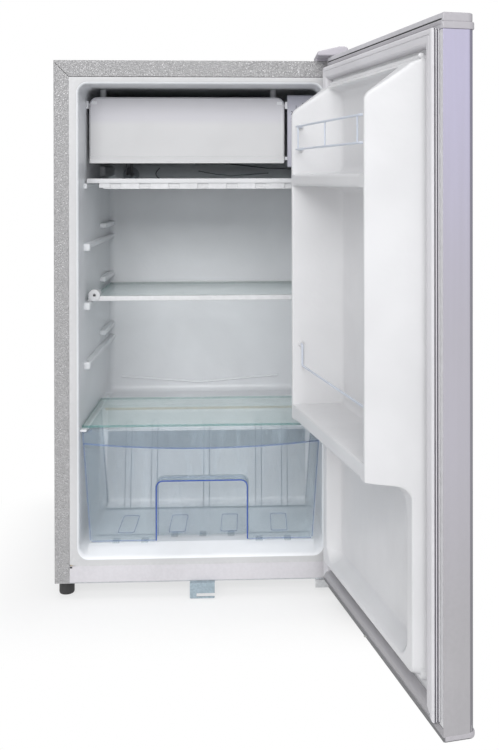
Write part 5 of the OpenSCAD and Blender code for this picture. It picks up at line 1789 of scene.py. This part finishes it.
@dataclass(frozen=True)
class ThermoSizes:
    """Thermostat housing and its dial."""

    x0: float = 139.5
    x1: float = 191.3
    z0: float = 681.0
    z1: float = 800.0
    y: float = -127.0
    deep: float = 62.0
    knob_x: float = 165.5
    knob_z: float = 764.0
    dial_r: float = 19.5
    digit: float = 8.5
    first_deg: float = -270.0
    step_deg: float = 36.0


@dataclass
class Freezer:
    """Flap, thermostat and sensor leads."""

    builder: Builder
    flap: FlapSizes = FlapSizes()
    thermo: ThermoSizes = ThermoSizes()

    def build_leads(self) -> None:
        """Builds the thin sensor leads that hang under the evaporator."""
        back = S.back - 4.0
        first = [(-96, back, 682), (-104, back - 3, 672), (-100, back - 4, 664), (-84, back - 3, 655)]
        second = [(-22, back - 2, 676), (10, back - 2, 670), (40, back - 3, 667), (72, back - 2, 669),
                  (112, back - 2, 672)]
        parts = [bar(first, 0.9, 8, 8.0), bar(second, 0.8, 8, 20.0)]
        self.builder.piece("sensor_leads", joined(*parts), SENSOR, "cabinet", (), "sensor_steel")

    def build_flap(self) -> None:
        """Builds the flap: a shallow pan with rounded upper corners and a finger lip."""
        f = self.flap
        part = prism([(f.x0, f.z0), (f.x1, f.z0), (f.x1, f.z1), (f.x0, f.z1)], Axis.Y, f.y, f.y + f.thick)
        soften(part, f.corner, 6, every(along(Axis.Y), level(Axis.Z, f.z1)))
        soften(part, 3.0, 3, every(along(Axis.Y), level(Axis.Z, f.z0)))
        back = [face for face in part.faces if face.normal.y > 0.9]
        bmesh.ops.inset_region(part, faces=back, thickness=2.4, depth=0.0)
        back = max((face for face in part.faces if face.normal.y > 0.9), key=lambda face: face.calc_area())
        grown = bmesh.ops.extrude_face_region(part, geom=[back])
        bmesh.ops.translate(part, verts=new_verts(grown), vec=(0, -f.thick + 2.4, 0))
        bmesh.ops.delete(part, geom=[back], context="FACES")
        soften(part, 1.6, 3, every(level(Axis.Y, f.y), lambda e: not e.is_boundary))
        lip = prism([(f.y - 4, f.z0), (f.y + 0.5, f.z0), (f.y + 0.5, f.z0 + 12), (f.y - 0.4, f.z0 + 11.5),
                     (f.y - 4, f.z0 + 4)],
                    Axis.X, f.x0 + 1, f.x1 - 1)
        soften(lip, 1.2, 3, lambda e: e.calc_face_angle(0.0) > 0.3)
        pins = [lathe([(0, 0), (2.4, 0), (2.5, 0.4), (2.5, 6), (0, 6)], (x, f.y + 4.5, 783), Axis.X, 24)
                for x in (f.x0 - 3.2, f.x1 - 2.8)]
        self.builder.piece("flap_pan", joined(part, lip, *pins), FLAP, "flap", ("freezer_flap",),
                           "flap_plastic")
        # A dark line of painted shade along the flap's top and sides.
        outer, inner = (hood(f.x0, f.x1, f.z0 + 9, f.z1, f.corner, -inset, 8) for inset in (1.6, 2.3))
        border = prism([*outer, *reversed(inner)], Axis.Y, f.y - 0.12, f.y + 0.4)
        self.builder.piece("flap_edge_shade", border, FLAP_EDGE_SHADE, "flap", (), "flap_plastic")
        marks = []
        for x in (f.x0 + 8, f.x1 - 8):
            marks.append(block((x - 4.5, f.y - 0.35, f.z1 - 12), (x + 4.5, f.y + 0.5, f.z1 - 7), 0.3, 2))
        self.builder.piece("flap_pegs", joined(*marks), WHITE, "flap", (), "white_plastic")

    def build_thermostat(self) -> None:
        """Builds the housing, dial digits and knob."""
        t = self.thermo
        y = t.y
        part = prism([(t.x0, t.z0), (t.x1, t.z0), (t.x1, t.z1), (t.x0, t.z1)], Axis.Y, y, y + t.deep)
        soften(part, 9.0, 6, every(along(Axis.Y), level(Axis.X, t.x1), level(Axis.Z, t.z1)))
        corner = every(lambda e: not along(Axis.X)(e), lambda e: not along(Axis.Z)(e))
        soften(part, 4.0, 4, every(level(Axis.Y, y),
                                   either(level(Axis.Z, t.z1), level(Axis.X, t.x1), corner)))
        soften(part, 2.0, 3, every(level(Axis.Y, y), either(level(Axis.X, t.x0), level(Axis.Z, t.z0))))
        self.builder.piece("thermo_shell", part, THERMO, "cabinet", ("thermostat_housing",), "thermo_grey")
        cx, cz = t.knob_x, t.knob_z
        digits = []
        for i, word in enumerate("01234567"):
            angle = math.radians(t.first_deg + i * t.step_deg)
            curve = bpy.data.curves.new("digit", "FONT")
            curve.body = word
            curve.size = t.digit
            curve.align_x = "CENTER"
            curve.align_y = "CENTER"
            curve.extrude = 0.12
            spare = bpy.data.objects.new("digit", curve)
            bpy.context.scene.collection.objects.link(spare)
            bpy.context.view_layer.update()
            mesh = bpy.data.meshes.new_from_object(spare)
            bit = bmesh.new()
            bit.from_mesh(mesh)
            bpy.data.objects.remove(spare)
            bpy.data.meshes.remove(mesh)
            place = (cx + math.cos(angle) * t.dial_r, y - 0.1, cz + math.sin(angle) * t.dial_r)
            stand = Matrix.Translation(place) @ Matrix.Rotation(math.pi / 2, 4, "X")
            bmesh.ops.transform(bit, matrix=stand, verts=bit.verts[:])
            digits.append(bit)
        self.builder.piece("dial_digits", joined(*digits), INK, "cabinet", (), "black_plastic")
        cap = [(0, -12.0), (0.01, -10.2), (10.5, -10.0), (11.6, -9.4), (12.2, -8.0), (12.5, -5.2),
               (14.2, -4.8)]
        skirt = [(14.9, -4.0), (15.0, -0.4), (14.5, 0), (3, 0), (3, 13.5), (0, 13.5)]
        knob = lathe(cap + skirt, (cx, y - 0.3, cz), Axis.Y, 64)
        grip = block((cx - 2.2, y - 12.2, cz - 12.6), (cx + 2.2, y - 4.0, cz + 12.6), 1.2, 3)
        line = block((cx - 0.5, y - 12.35, cz + 4), (cx + 0.5, y - 11.9, cz + 11.5), 0.12, 1)
        for f in line.faces:
            f.material_index = 1
        self.builder.piece("dial_knob", joined(knob, grip, line), (KNOB, INK), "knob", ("thermostat_knob",),
                           "knob_white")

    def build(self) -> None:
        """Builds everything at the freezer's front."""
        self.build_flap()
        self.build_thermostat()
        self.build_leads()


# ---- shelves ----


@dataclass(frozen=True)
class ShelfSizes:
    """Shelf, tray and crisper glass."""

    glass: float = 4.0
    shelf_x: float = 187.0
    shelf_y0: float = -136.0
    shelf_y1: float = 134.0
    shelf_z: float = 461.3
    boss: float = 9.5
    tray_x: float = 189.5
    tray_z: float = 662.0
    tray_y0: float = -138.0
    tray_y1: float = 124.0
    cover_z: float = 264.5


@dataclass
class Shelves:
    """Glass shelf with its trims, the drip tray and the glass over the crisper."""

    builder: Builder
    sizes: ShelfSizes = ShelfSizes()

    @staticmethod
    def pane(lo: Point, hi: Point) -> Mesh:
        """Returns a ground glass pane; its narrow faces use the second finish.

        Args:
            lo: the lowest corner.
            hi: the highest corner.

        Returns:
            The new part.
        """
        part = block(lo, hi, 0.7, 2)
        for face in part.faces:
            if abs(face.normal.z) < 0.9:
                face.material_index = 1
        return part

    def build_shelf(self) -> None:
        """Builds the shelf glass and both trims."""
        h = self.sizes
        glass = self.pane((-h.shelf_x, h.shelf_y0 + 8, h.shelf_z),
                          (h.shelf_x, h.shelf_y1 - 8, h.shelf_z + h.glass))
        self.builder.piece("shelf_pane", glass, (GLASS, GLASS_EDGE), "shelf", ("shelf_glass",),
                           "glass_green")
        section = [(0, 0), (8, 0), (8, 4.2), (9, 4.2), (9, 7.4), (8, 8), (0, 8)]
        outline = [(h.shelf_y0 + a, h.shelf_z + b) for a, b in section]
        strip = prism(outline, Axis.X, -h.shelf_x, h.shelf_x)
        soften(strip, 1.2, 3, every(along(Axis.X), level(Axis.Y, h.shelf_y0)))
        parts = [strip]
        for s in (-1, 1):
            parts.append(lathe([(2.2, 10), (2.2, 0.4), (2.8, 0), (8.0, 0), (9.2, 0.5), (9.5, 1.6),
                                (9.5, 12), (7.5, 31), (2.2, 32)],
                               (s * (h.shelf_x - h.boss), h.shelf_y0 - 2, h.shelf_z + h.boss), Axis.Y, 48))
        self.builder.piece("shelf_strip", joined(*parts), TRIM, "shelf", ("shelf_front_trim",),
                           "trim_white")
        rear = block((-h.shelf_x, h.shelf_y1 - 8, h.shelf_z), (h.shelf_x, h.shelf_y1, h.shelf_z + 6.5), 1.0,
                     3)
        rear = joined(rear, block((-h.shelf_x, h.shelf_y1 - 9, h.shelf_z + 4.2),
                                  (h.shelf_x, h.shelf_y1 - 7.5, h.shelf_z + 6.5), 0.4, 2))
        self.builder.piece("shelf_back_strip", rear, TRIM, "shelf", ("shelf_rear_trim",), "trim_white")

    def build_tray(self) -> None:
        """Builds the drip tray: flat lip, sloped walls and a scalloped front."""
        h = self.sizes
        x, z, y0, y1 = h.tray_x, h.tray_z, h.tray_y0, h.tray_y1
        low, lip = z - 17.0, z - 7.7
        front = block((-x, y0, lip), (x, y0 + 3.0, z), 1.2, 3)
        rear = block((-x, y1 - 3, lip), (x, y1, z), 1.2, 3)
        parts = [front, rear]
        for s in (-1, 1):
            near, far = sorted((s * (x - 20), s * x))
            parts.append(block((near, y0 + 1, lip), (far, y1 - 1, lip + 2.2), 0.8, 2))
            near, far = sorted((s * (x - 20), s * (x - 21.8)))
            parts.append(block((near, y0 + 2, lip), (far, y1 - 2, z), 0.6, 2))
            slope = [(s * (x - 20), lip + 1), (s * (x - 28), low), (s * (x - 30), low + 0.4),
                     (s * (x - 22), lip + 1.4)]
            parts.append(prism(slope, Axis.Y, y0 + 3, y1 - 3))
        parts.append(block((-x + 28, y0 + 3, low), (x - 28, y1 - 3, low + 2), 0.7, 2))
        outline = [(-x + 20, lip + 2), (-x + 28, low), (x - 28, low), (x - 20, lip + 2)]
        for ya, yb in ((y0 + 4.4, y0 + 6.4), (y1 - 5, y1 - 3)):
            parts.append(prism(outline, Axis.Y, ya, yb))
        posts = [-x + 20.0] + [i * 47.6 + s * 8.5 for i in range(-3, 4) for s in (-1, 1)] + [x - 20.0]
        for a, b in zip(posts[::2], posts[1::2]):
            if b - a > 1:
                foot = low + 2 if abs(a) > 160 or abs(b) > 160 else low
                parts.append(block((a, y0 + 2.2, foot), (b, y0 + 4.6, lip + 2), 1.0, 3, along(Axis.Z)))
        self.builder.piece("tray_pan", joined(*parts), TRAY, "tray", ("drip_tray",), "tray_white",
                           smooth=40)

    def build(self) -> None:
        """Builds the shelf, tray and cover glass."""
        h = self.sizes
        self.build_shelf()
        self.build_tray()
        cover = self.pane((-S.wall_x + 1, S.front + 24, h.cover_z),
                          (S.wall_x - 1, S.hump_y + 14, h.cover_z + h.glass))
        self.builder.piece("crisper_cover", cover, (GLASS, GLASS_EDGE), "cabinet", ("crisper_glass",),
                           "glass_green")


@dataclass(frozen=True)
class CrisperSizes:
    """Vegetable drawer."""

    x: float = 188.5
    z0: float = 85.5
    z1: float = 260.0
    band: float = 264.1
    y0: float = -192.0
    y1: float = 3.0
    taper: float = 12.0
    wall: float = 2.5
    arch_w: float = 144.0
    arch_h: float = 94.0
    arch_d: float = 26.0
    arch_r: float = 10.0
    bow_z: float = 231.5
    bow_r: float = 1770.0
    notch: float = 10.0
    line: float = 1.1
    pads: tuple[float, ...] = (-124.0, -42.0, 42.0, 124.0)
    rib_pitch: float = 45.6
    rib_top: float = 232.0


@dataclass
class Crisper:
    """Clear vegetable drawer with an arched hand recess and a bowed front band."""

    builder: Builder
    sizes: CrisperSizes = CrisperSizes()

    def arch(self, grow: float) -> list[Flat]:
        """Returns the recess's outline from its left foot to its right foot, grown outward.

        Args:
            grow: how far it grows.

        Returns:
            The outline.
        """
        c = self.sizes
        return hood(-c.arch_w / 2, c.arch_w / 2, c.z0, c.z0 + c.arch_h, c.arch_r, grow, 6)

    def half_at(self, z: float) -> float:
        """Returns the drawer's half width at a level."""
        c = self.sizes
        return c.x - c.taper + c.taper * (z - c.z0) / (c.z1 - c.z0)

    def walls(self) -> list[Mesh]:
        """Builds the front face, the recess, the side walls, the floor and the back.

        Returns:
            The parts.
        """
        c = self.sizes
        ha, yf, w, low = c.arch_w / 2, c.y0 + 3, c.wall, c.x - c.taper
        face = [(-low + 2, c.z0), *self.arch(0.0), (low - 2, c.z0), (low, c.z0 + 3), (c.x, c.z1),
                (-c.x, c.z1), (-low, c.z0 + 3)]
        parts = [soften(prism(face, Axis.Y, yf, yf + w), 0.7, 2, level(Axis.Y, yf))]
        tunnel_end = c.y0 + c.arch_d + w
        parts.append(prism([*self.arch(w), *reversed(self.arch(0.0))], Axis.Y, yf + w, tunnel_end))
        parts.append(prism(self.arch(0.0), Axis.Y, c.y0 + c.arch_d, tunnel_end))
        for s in (-1, 1):
            side = [(s * low, c.z0), (s * c.x, c.z1), (s * (c.x - w), c.z1), (s * (low - w), c.z0 + w)]
            parts.append(prism(side, Axis.Y, yf + w, c.y1))
            near, far = sorted((s * (ha + w), s * (low - w)))
            parts.append(block((near, yf + w, c.z0), (far, tunnel_end, c.z0 + w)))
        floor = [(-low + w, c.z0), (low - w, c.z0), (low - w, c.z0 + w), (-low + w, c.z0 + w)]
        parts.append(prism(floor, Axis.Y, tunnel_end, c.y1 - 34))
        back = [(c.y1 - 34, c.z0), (c.y1, c.z1), (c.y1 - w, c.z1), (c.y1 - 34 - w, c.z0)]
        parts.append(prism(back, Axis.X, -low + w, low - w))
        return parts

    def bow(self, half: float, lift_by: float = 0.0) -> list[Flat]:
        """Returns the bowed lower edge of the front band, from left to right.

        Args:
            half: half its width.
            lift_by: how far it is raised.

        Returns:
            The points.
        """
        c = self.sizes
        places = [-half + 2 * half * i / 36 for i in range(37)]
        return [(x, c.bow_z + lift_by + c.bow_r - math.sqrt(c.bow_r ** 2 - x * x)) for x in places]

    def build_shell(self) -> None:
        """Builds the clear body with its band and feet."""
        c = self.sizes
        parts = self.walls()
        wide = S.wall_x - 12
        edge = [(c.x, c.z1), (wide, c.z1), (wide - c.notch * 0.5, c.band), (-wide + c.notch * 0.5, c.band),
                (-wide, c.z1), (-c.x, c.z1)]
        strip = prism([*self.bow(c.x - 1), *edge], Axis.Y, c.y0, c.y0 + 3.2)
        parts.append(soften(strip, 0.8, 2, level(Axis.Y, c.y0)))
        for i in range(-3, 4):
            x, y = i * c.rib_pitch, c.y0 + (c.arch_d + 4 if abs(i) < 2 else 4)
            parts.append(block((x - 5.5, y, S.step + 0.4), (x + 5.5, y + 15, c.z0 + 0.2), 1.0, 2))
        self.builder.piece("crisper_shell", joined(*parts), CRISPER, "crisper", ("crisper_drawer",),
                           "crisper_blue", smooth=30)

    def pad_outline(self, x: float) -> Mesh:
        """Returns the raised border of one long rounded pad on the drawer's floor.

        Args:
            x: the pad's middle.

        Returns:
            The new part.
        """
        c = self.sizes
        half, y0, y1, r = 13.5, c.y0 + 31, c.y0 + 116, 5.0
        part = bmesh.new()
        rings = []
        for inset, lift_by in ((0.0, 0.6), (0.0, 1.4), (0.9, 1.4), (0.9, 0.6)):
            ring = []
            left, right, near, far = x - half + r, x + half - r, y0 + r, y1 - r
            for cx, cy, start in ((right, far, 0), (left, far, 1), (left, near, 2), (right, near, 3)):
                for k in range(5):
                    a = (start + k / 4) * math.pi / 2
                    reach = r - inset
                    ring.append(part.verts.new((cx + math.cos(a) * reach, cy + math.sin(a) * reach,
                                                c.z0 + c.wall + lift_by)))
            rings.append(ring)
        for low, high in zip(rings, rings[1:] + rings[:1]):
            for i in range(len(low)):
                j = (i + 1) % len(low)
                part.faces.new((low[i], low[j], high[j], high[i]))
        bmesh.ops.recalc_face_normals(part, faces=part.faces[:])
        return part

    def build_lines(self) -> None:
        """Builds the thin edges where the clear plastic gathers its colour."""
        c = self.sizes
        yf, t = c.y0 + 3, c.line
        rim = prism([*self.arch(1.3), *reversed(self.arch(-0.5))], Axis.Y, yf - 0.5, yf + 1.2)
        self.builder.piece("crisper_arch_rim", soften(rim, 0.4, 2, level(Axis.Y, yf - 0.5)), CRISPER_EDGE,
                           "crisper", (),
                           "crisper_blue")
        parts = [prism([*self.bow(c.x - 1), *reversed(self.bow(c.x - 1, 1.2))], Axis.Y, c.y0 - 0.15,
                       c.y0 + 3.0)]
        deep = c.y0 + c.arch_d
        parts.append(prism([*self.arch(0.1), *reversed(self.arch(-0.9))], Axis.Y, deep - 0.4, deep + 0.6))
        for s in (-1, 1):
            low, high = self.half_at(c.z0 + 3), c.x
            for y in (yf - 0.1, c.y1 - 1.0):
                upright = [(s * (low - t), c.z0 + 3), (s * low, c.z0 + 3), (s * high, c.z1),
                           (s * (high - t), c.z1)]
                parts.append(prism(upright, Axis.Y, y, y + 0.8))
            near, far = sorted((s * (high - 3.4), s * high))
            parts.append(block((near, c.y0 + 8, c.z1 - 1.4), (far, c.y1 - 12, c.z1 - 0.1), 0.4, 2))
            near, far = sorted((s * (c.arch_w / 2 + 1), s * (low - 2)))
            parts.append(block((near, yf - 0.1, c.z0), (far, yf + 0.8, c.z0 + t), 0.3, 1))
        for x in c.pads:
            parts.append(self.pad_outline(x))
        for s in (-1, 1):
            wide = S.wall_x - 12
            tick = [(s * wide, c.z1), (s * (wide - c.notch * 0.5), c.band),
                    (s * (wide - c.notch * 0.5 - 1.4), c.band),
                    (s * (wide - 1.4), c.z1)]
            parts.append(prism(tick, Axis.Y, c.y0 - 0.1, c.y0 + 3.0))
        self.builder.piece("crisper_lines", joined(*parts), CRISPER_LINE, "crisper", (), "crisper_blue")

    def build_ribs(self) -> None:
        """Builds the round-topped ribs that run up the back wall."""
        c = self.sizes
        parts = []
        for i in range(-3, 4):
            if abs(i) == 1:
                continue
            x = i * c.rib_pitch
            rise = (c.rib_top - c.z0) / (c.z1 - c.z0)
            foot = Vector((x, c.y1 - 36.6, c.z0 + 2.6))
            head = Vector((x, c.y1 - 36.6 + 34 * rise, c.rib_top))
            for side in (-5.0, 5.0):
                shift = Vector((side, 0, 0))
                inward = Vector((-side, 0, 4.0))
                parts.append(bar([tuple(foot + shift), tuple(head + shift), tuple(head + shift + inward)],
                                 0.6, 8, 3.5))
        self.builder.piece("crisper_ribs", joined(*parts), CRISPER_RIB, "crisper", (), "crisper_blue")

    def build(self) -> None:
        """Builds the drawer's body, edges and ribs."""
        self.build_shell()
        self.build_lines()
        self.build_ribs()


# ---- hinges, strike and feet ----


@dataclass(frozen=True)
class HardwareSizes:
    """Hinge cover, strike and feet."""

    cover_w: float = 48.0
    cover_deep: float = 50.0
    cover_h: float = 18.0
    cover_side: float = 15.0
    cover_low: float = 10.0
    flat_from: float = 34.0
    nose_gap: float = 0.6
    nose: float = 14.0
    strike: Flat = (-18.0, 21.0)
    strike_low: float = 1.5
    tab_high: float = 4.5
    slot_high: float = 9.5
    stem: float = 10.5
    strike_out: float = 8.0
    strike_back: float = 30.0
    foot_x: float = 216.0
    foot_y: float = 174.0


@dataclass
class Hardware:
    """Hinge cover, strike and feet."""

    builder: Builder
    sizes: HardwareSizes = HardwareSizes()

    def build_cover(self) -> None:
        """Builds the sloping cover over the upper hinge."""
        h = self.sizes
        x0, x1, y, top = S.half_w - h.cover_w, S.half_w, S.front + 1.5, S.top
        crown = [(x1, top + h.cover_side), (x1 - 4, top + h.cover_h), (x0 + h.flat_from, top + h.cover_h),
                 (x0, top + h.cover_low)]
        part = prism([(x0, top), (x1, top), *crown], Axis.Y, S.front + 0.5, S.front + h.cover_deep)
        soften(part, 2.2, 3, lambda e: e.calc_face_angle(0.0) > 0.3 and not level(Axis.Z, top)(e))
        foot = S.door_high + h.nose_gap
        tip = prism([(x0, foot), (x1, foot), *crown], Axis.Y, S.hinge_y - h.nose, y)
        soften(tip, 2.2, 3, lambda e: e.calc_face_angle(0.0) > 0.3 and not level(Axis.Y, y)(e))
        self.builder.piece("hinge_cover", joined(part, tip), COVER, "cabinet", ("top_hinge_cover",),
                           "cover_grey")

    def build_strike(self) -> None:
        """Builds the bent strike with its slot."""
        h = self.sizes
        (x0, x1), y, stem = h.strike, S.front - h.strike_out, h.strike[0] + h.stem
        tab = [(x0, h.strike_low), (x1, h.strike_low), (x1, h.tab_high), (stem, h.tab_high)]
        outline = [*tab, (stem, h.slot_high), (x1, h.slot_high), (x1, S.base), (x0, S.base)]
        part = prism(outline, Axis.Y, y, y + 1.5)
        soften(part, 1.6, 3, every(along(Axis.Y), lambda e: e.verts[0].co.z < 3))
        soften(part, 0.35, 2, every(level(Axis.Y, y), lambda e: e.calc_face_angle(0.0) > 0.5))
        top = block((x0, y + 0.2, S.base - 1.2), (x1, S.front + h.strike_back, S.base - 0.05), 0.3, 2)
        self.builder.piece("strike_plate", joined(part, top), STRIKE, "cabinet", ("lock_strike",),
                           "strike_zinc")

    def build_feet(self) -> None:
        """Builds two front feet with a rounded foot and a studded neck, and two plain rear feet."""
        h = self.sizes
        cup = [(0, 0), (9.0, 0), (10.8, 0.6), (11.8, 2.0), (12.0, 3.6), (12.0, 20.4), (11.4, 21.6),
               (10.4, 22.0)]
        stud = [(4.0, 22.0), (4.0, 40.0), (3.4, 41.5), (0, 42.0)]
        for side, name in ((-1, "left"), (1, "right")):
            foot = lathe(cup + stud, (side * h.foot_x, -h.foot_y, 0), Axis.Z, 40)
            self.builder.piece(f"front_foot_{name}", foot, FOOT, f"foot_{name}",
                               (f"levelling_foot_{name}",), "foot_black")
        block_foot = [(0, 0), (10.0, 0), (11.4, 0.8), (12.0, 2.4), (12.0, 26.0), (0, 26.0)]
        rear = [lathe(block_foot, (side * h.foot_x, h.foot_y, 0), Axis.Z, 40) for side in (-1, 1)]
        self.builder.piece("back_feet", joined(*rear), FOOT, "cabinet", ("rear_feet",), "foot_black")

    def build(self) -> None:
        """Builds all the hardware."""
        self.build_cover()
        self.build_strike()
        self.build_feet()


@dataclass
class Machinery:
    """Carried-over metalwork and plastics, given their own finishes, some also soft edges."""

    builder: Builder
    soft: tuple[tuple[str, Finish, str, str, float], ...] = (
        ("back_panel", BACK_SHEET, "cabinet", "back_sheet", 0.3),
        ("base_plate", GALVANISED, "cabinet", "galvanised", 0.4),
        ("bay_bulkhead", GALVANISED, "cabinet", "galvanised", 0.3),
        ("compressor_grommets", RUBBER, "cabinet", "rubber_dark", 0.6),
        ("relay_cover", BLACK_PLASTIC, "cabinet", "black_plastic", 1.0),
        ("condenser_brackets", BLACK_PLASTIC, "cabinet", "black_plastic", 0.5),
        ("evaporator_box", ALUMINIUM, "cabinet", "evaporator_alu", 0.6),
        ("evaporator_hangers", WHITE, "cabinet", "white_plastic", 0.6),
        ("tube_entry_plug", PLUG, "cabinet", "plug_grey", 0.6),
        ("flap_bearings", WHITE, "cabinet", "white_plastic", 0.8),
        ("flap_catch", WHITE, "cabinet", "white_plastic", 0.8),
        ("thermostat_body", SENSOR, "cabinet", "sensor_steel", 0.5),
        ("power_inlet", RUBBER, "cabinet", "rubber_dark", 0.6),
        ("evaporation_pan", BLACK_PLASTIC, "cabinet", "black_plastic", 0.6),
        ("bottom_hinge_bracket", HINGE, "cabinet", "hinge_steel", 0.5),
        ("top_hinge_bracket", HINGE, "cabinet", "hinge_steel", 0.5),
        ("lock_cylinder", LOCK, "lock", "lock_metal", 0.3),
        ("lock_cam", BOLT, "lock", "bolt_zinc", 0.3),
        ("hinge_bushes", WHITE, "door", "white_plastic", 0.4),
    )
    kept: tuple[tuple[str, Finish], ...] = (
        ("cabinet_foam", FOAM), ("compressor", COMPRESSOR), ("compressor_bolts", BOLT),
                                            ("condenser_coil", CONDENSER),
        ("condenser_wires", CONDENSER), ("filter_drier", COPPER), ("capillary_tube", TUBING),
                                            ("suction_tube", TUBING),
        ("sensor_capillary", SENSOR), ("hinge_screws", BOLT), ("drain_tube", TUBE),
    )

    def build(self) -> None:
        """Dresses every carried-over node."""
        for node, finish, body, slot, edge in self.soft:
            self.builder.softened(node, finish, body, slot, edge)
        for node, finish in self.kept:
            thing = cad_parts[node]
            thing.data.materials.clear()
            thing.data.materials.append(finish.material())


# ---- studio ----


@dataclass(frozen=True)
class Lamp:
    """A soft rectangular light, in metres and watts."""

    name: str
    place: Point
    aim: Point
    size: Flat
    watts: float

    def build(self) -> None:
        """Adds the light."""
        data = bpy.data.lights.new(self.name, "AREA")
        data.shape = "RECTANGLE"
        data.size, data.size_y = self.size
        data.energy = self.watts
        made = bpy.data.objects.new(self.name, data)
        bpy.context.scene.collection.objects.link(made)
        made.location = self.place
        made.rotation_euler = (Vector(self.aim) - Vector(self.place)).to_track_quat("-Z", "Y").to_euler()


@dataclass(frozen=True)
class StudioSizes:
    """Camera, in metres and radians, and the lights."""

    lens: float = 49.1
    sensor: float = 36.0
    shift: Flat = (-0.0705, -0.2564)
    eye: Point = (0.0820, -1.8245, 0.6628)
    yaw: float = 0.0484
    pitch: float = 0.0048
    roll: float = 0.0014
    lamps: tuple[Lamp, ...] = (
        Lamp("key", (-0.3, -4.9, 2.7), (0.0, 0.0, 0.36), (3.4, 2.0), 150),
        Lamp("fill", (-2.4, -1.6, 0.9), (0.0, -0.2, 0.4), (1.8, 1.8), 5),
        Lamp("top", (-0.2, -0.6, 2.6), (0.0, 0.0, 0.4), (2.0, 1.6), 14),
    )


@dataclass
class Studio:
    """Camera, floor and soft light."""

    sizes: StudioSizes = StudioSizes()

    def build_camera(self) -> None:
        """Places the camera in front of the cabinet, turned a little to the right."""
        v = self.sizes
        data = bpy.data.cameras.new("camera")
        data.lens = v.lens
        data.sensor_width = v.sensor
        data.shift_x, data.shift_y = v.shift
        data.clip_start = 0.05
        made = bpy.data.objects.new("camera", data)
        bpy.context.scene.collection.objects.link(made)
        made.location = v.eye
        forward = Vector((math.sin(v.yaw), math.cos(v.yaw), -math.tan(v.pitch))).normalized()
        turn = forward.to_track_quat("-Z", "Y").to_matrix().to_4x4() @ Matrix.Rotation(-v.roll, 4, "Z")
        made.rotation_euler = turn.to_euler()
        bpy.context.scene.camera = made

    def floor_material(self) -> bpy.types.Material:
        """Makes the floor's surface: it keeps the shadow near the object and fades to white further out.

        Returns:
            The material.
        """
        material = bpy.data.materials.new("floor")
        material.use_nodes = True
        tree = material.node_tree
        tree.nodes.clear()
        g = Graph(tree)
        at = g.add("ShaderNodeTexCoord").outputs["Object"]
        tone = g.noise(at, 3.0, 3.0)
        colour = g.mix(tone, (0.90, 0.90, 0.90, 1), (0.94, 0.94, 0.94, 1))
        plain = g.add("ShaderNodeBsdfPrincipled", {"Base Color": colour, "Roughness": 0.9})
        white = g.add("ShaderNodeEmission", {"Color": (1, 1, 1, 1), "Strength": 1.0})
        split = g.add("ShaderNodeSeparateXYZ", {0: at})
        over_x = g.math("MAXIMUM", g.math("SUBTRACT", g.math("ABSOLUTE", split.outputs[0]), S.half_w * MM),
                        0.0)
        over_y = g.math("MAXIMUM", g.math("SUBTRACT", g.math("ABSOLUTE", split.outputs[1]), S.rear * MM),
                        0.0)
        away = g.math("SQRT", g.math("ADD", g.math("MULTIPLY", over_x, over_x),
                                     g.math("MULTIPLY", over_y, over_y)))
        path = g.add("ShaderNodeLightPath")
        seen = g.math("MAXIMUM", path.outputs["Is Camera Ray"], path.outputs["Is Glossy Ray"])
        seen = g.math("MAXIMUM", seen, path.outputs["Is Transmission Ray"])
        share = g.math("MULTIPLY", g.ramp(away, 0.0, 0.22, 0.62, 1.0), seen)
        both = g.add("ShaderNodeMixShader", {0: share, 1: plain.outputs[0], 2: white.outputs[0]})
        out = g.add("ShaderNodeOutputMaterial")
        tree.links.new(both.outputs[0], out.inputs["Surface"])
        return material

    def build_floor(self) -> None:
        """Makes a plain pale floor."""
        reach = 6000
        part = block((-reach, -reach, -20), (reach, reach, 0), 4, 2)
        bmesh.ops.transform(part, matrix=Matrix.Scale(MM, 4), verts=part.verts[:])
        mesh = bpy.data.meshes.new("floor")
        part.to_mesh(mesh)
        part.free()
        mesh.materials.append(self.floor_material())
        floor = bpy.data.objects.new("floor", mesh)
        bpy.context.scene.collection.objects.link(floor)

    def build_world(self) -> None:
        """Lights the room evenly and shows white to the camera."""
        world = bpy.data.worlds.new("world")
        bpy.context.scene.world = world
        world.use_nodes = True
        tree = world.node_tree
        tree.nodes.clear()
        g = Graph(tree)
        seen = g.add("ShaderNodeLightPath").outputs["Is Camera Ray"]
        room = g.add("ShaderNodeBackground", {"Color": (0.96, 0.97, 1.0, 1), "Strength": 0.5})
        white = g.add("ShaderNodeBackground", {"Color": (1, 1, 1, 1), "Strength": 1.0})
        both = g.add("ShaderNodeMixShader", {0: seen, 1: room.outputs[0], 2: white.outputs[0]})
        out = g.add("ShaderNodeOutputWorld")
        tree.links.new(both.outputs[0], out.inputs["Surface"])

    def build(self) -> None:
        """Builds the whole studio."""
        self.build_camera()
        self.build_floor()
        self.build_world()
        for lamp in self.sizes.lamps:
            lamp.build()
        bpy.context.scene.view_settings.view_transform = "Standard"


def main() -> None:
    """Builds the whole appliance and reports its pieces."""
    builder = Builder()
    OuterCase(builder).build()
    InnerLiner(builder).build()
    FrontBeam(builder).build()
    DoorShell(builder).build()
    DoorLiner(builder).build()
    Gasket(builder).build()
    RackRails(builder).build()
    Freezer(builder).build()
    Shelves(builder).build()
    Crisper(builder).build()
    Hardware(builder).build()
    Machinery(builder).build()
    Studio().build()
    LOG.info("%d pieces: %s", len(builder.made), ", ".join(builder.made))


if __name__ == "__main__":
    logging.basicConfig(level=logging.INFO)
    main()
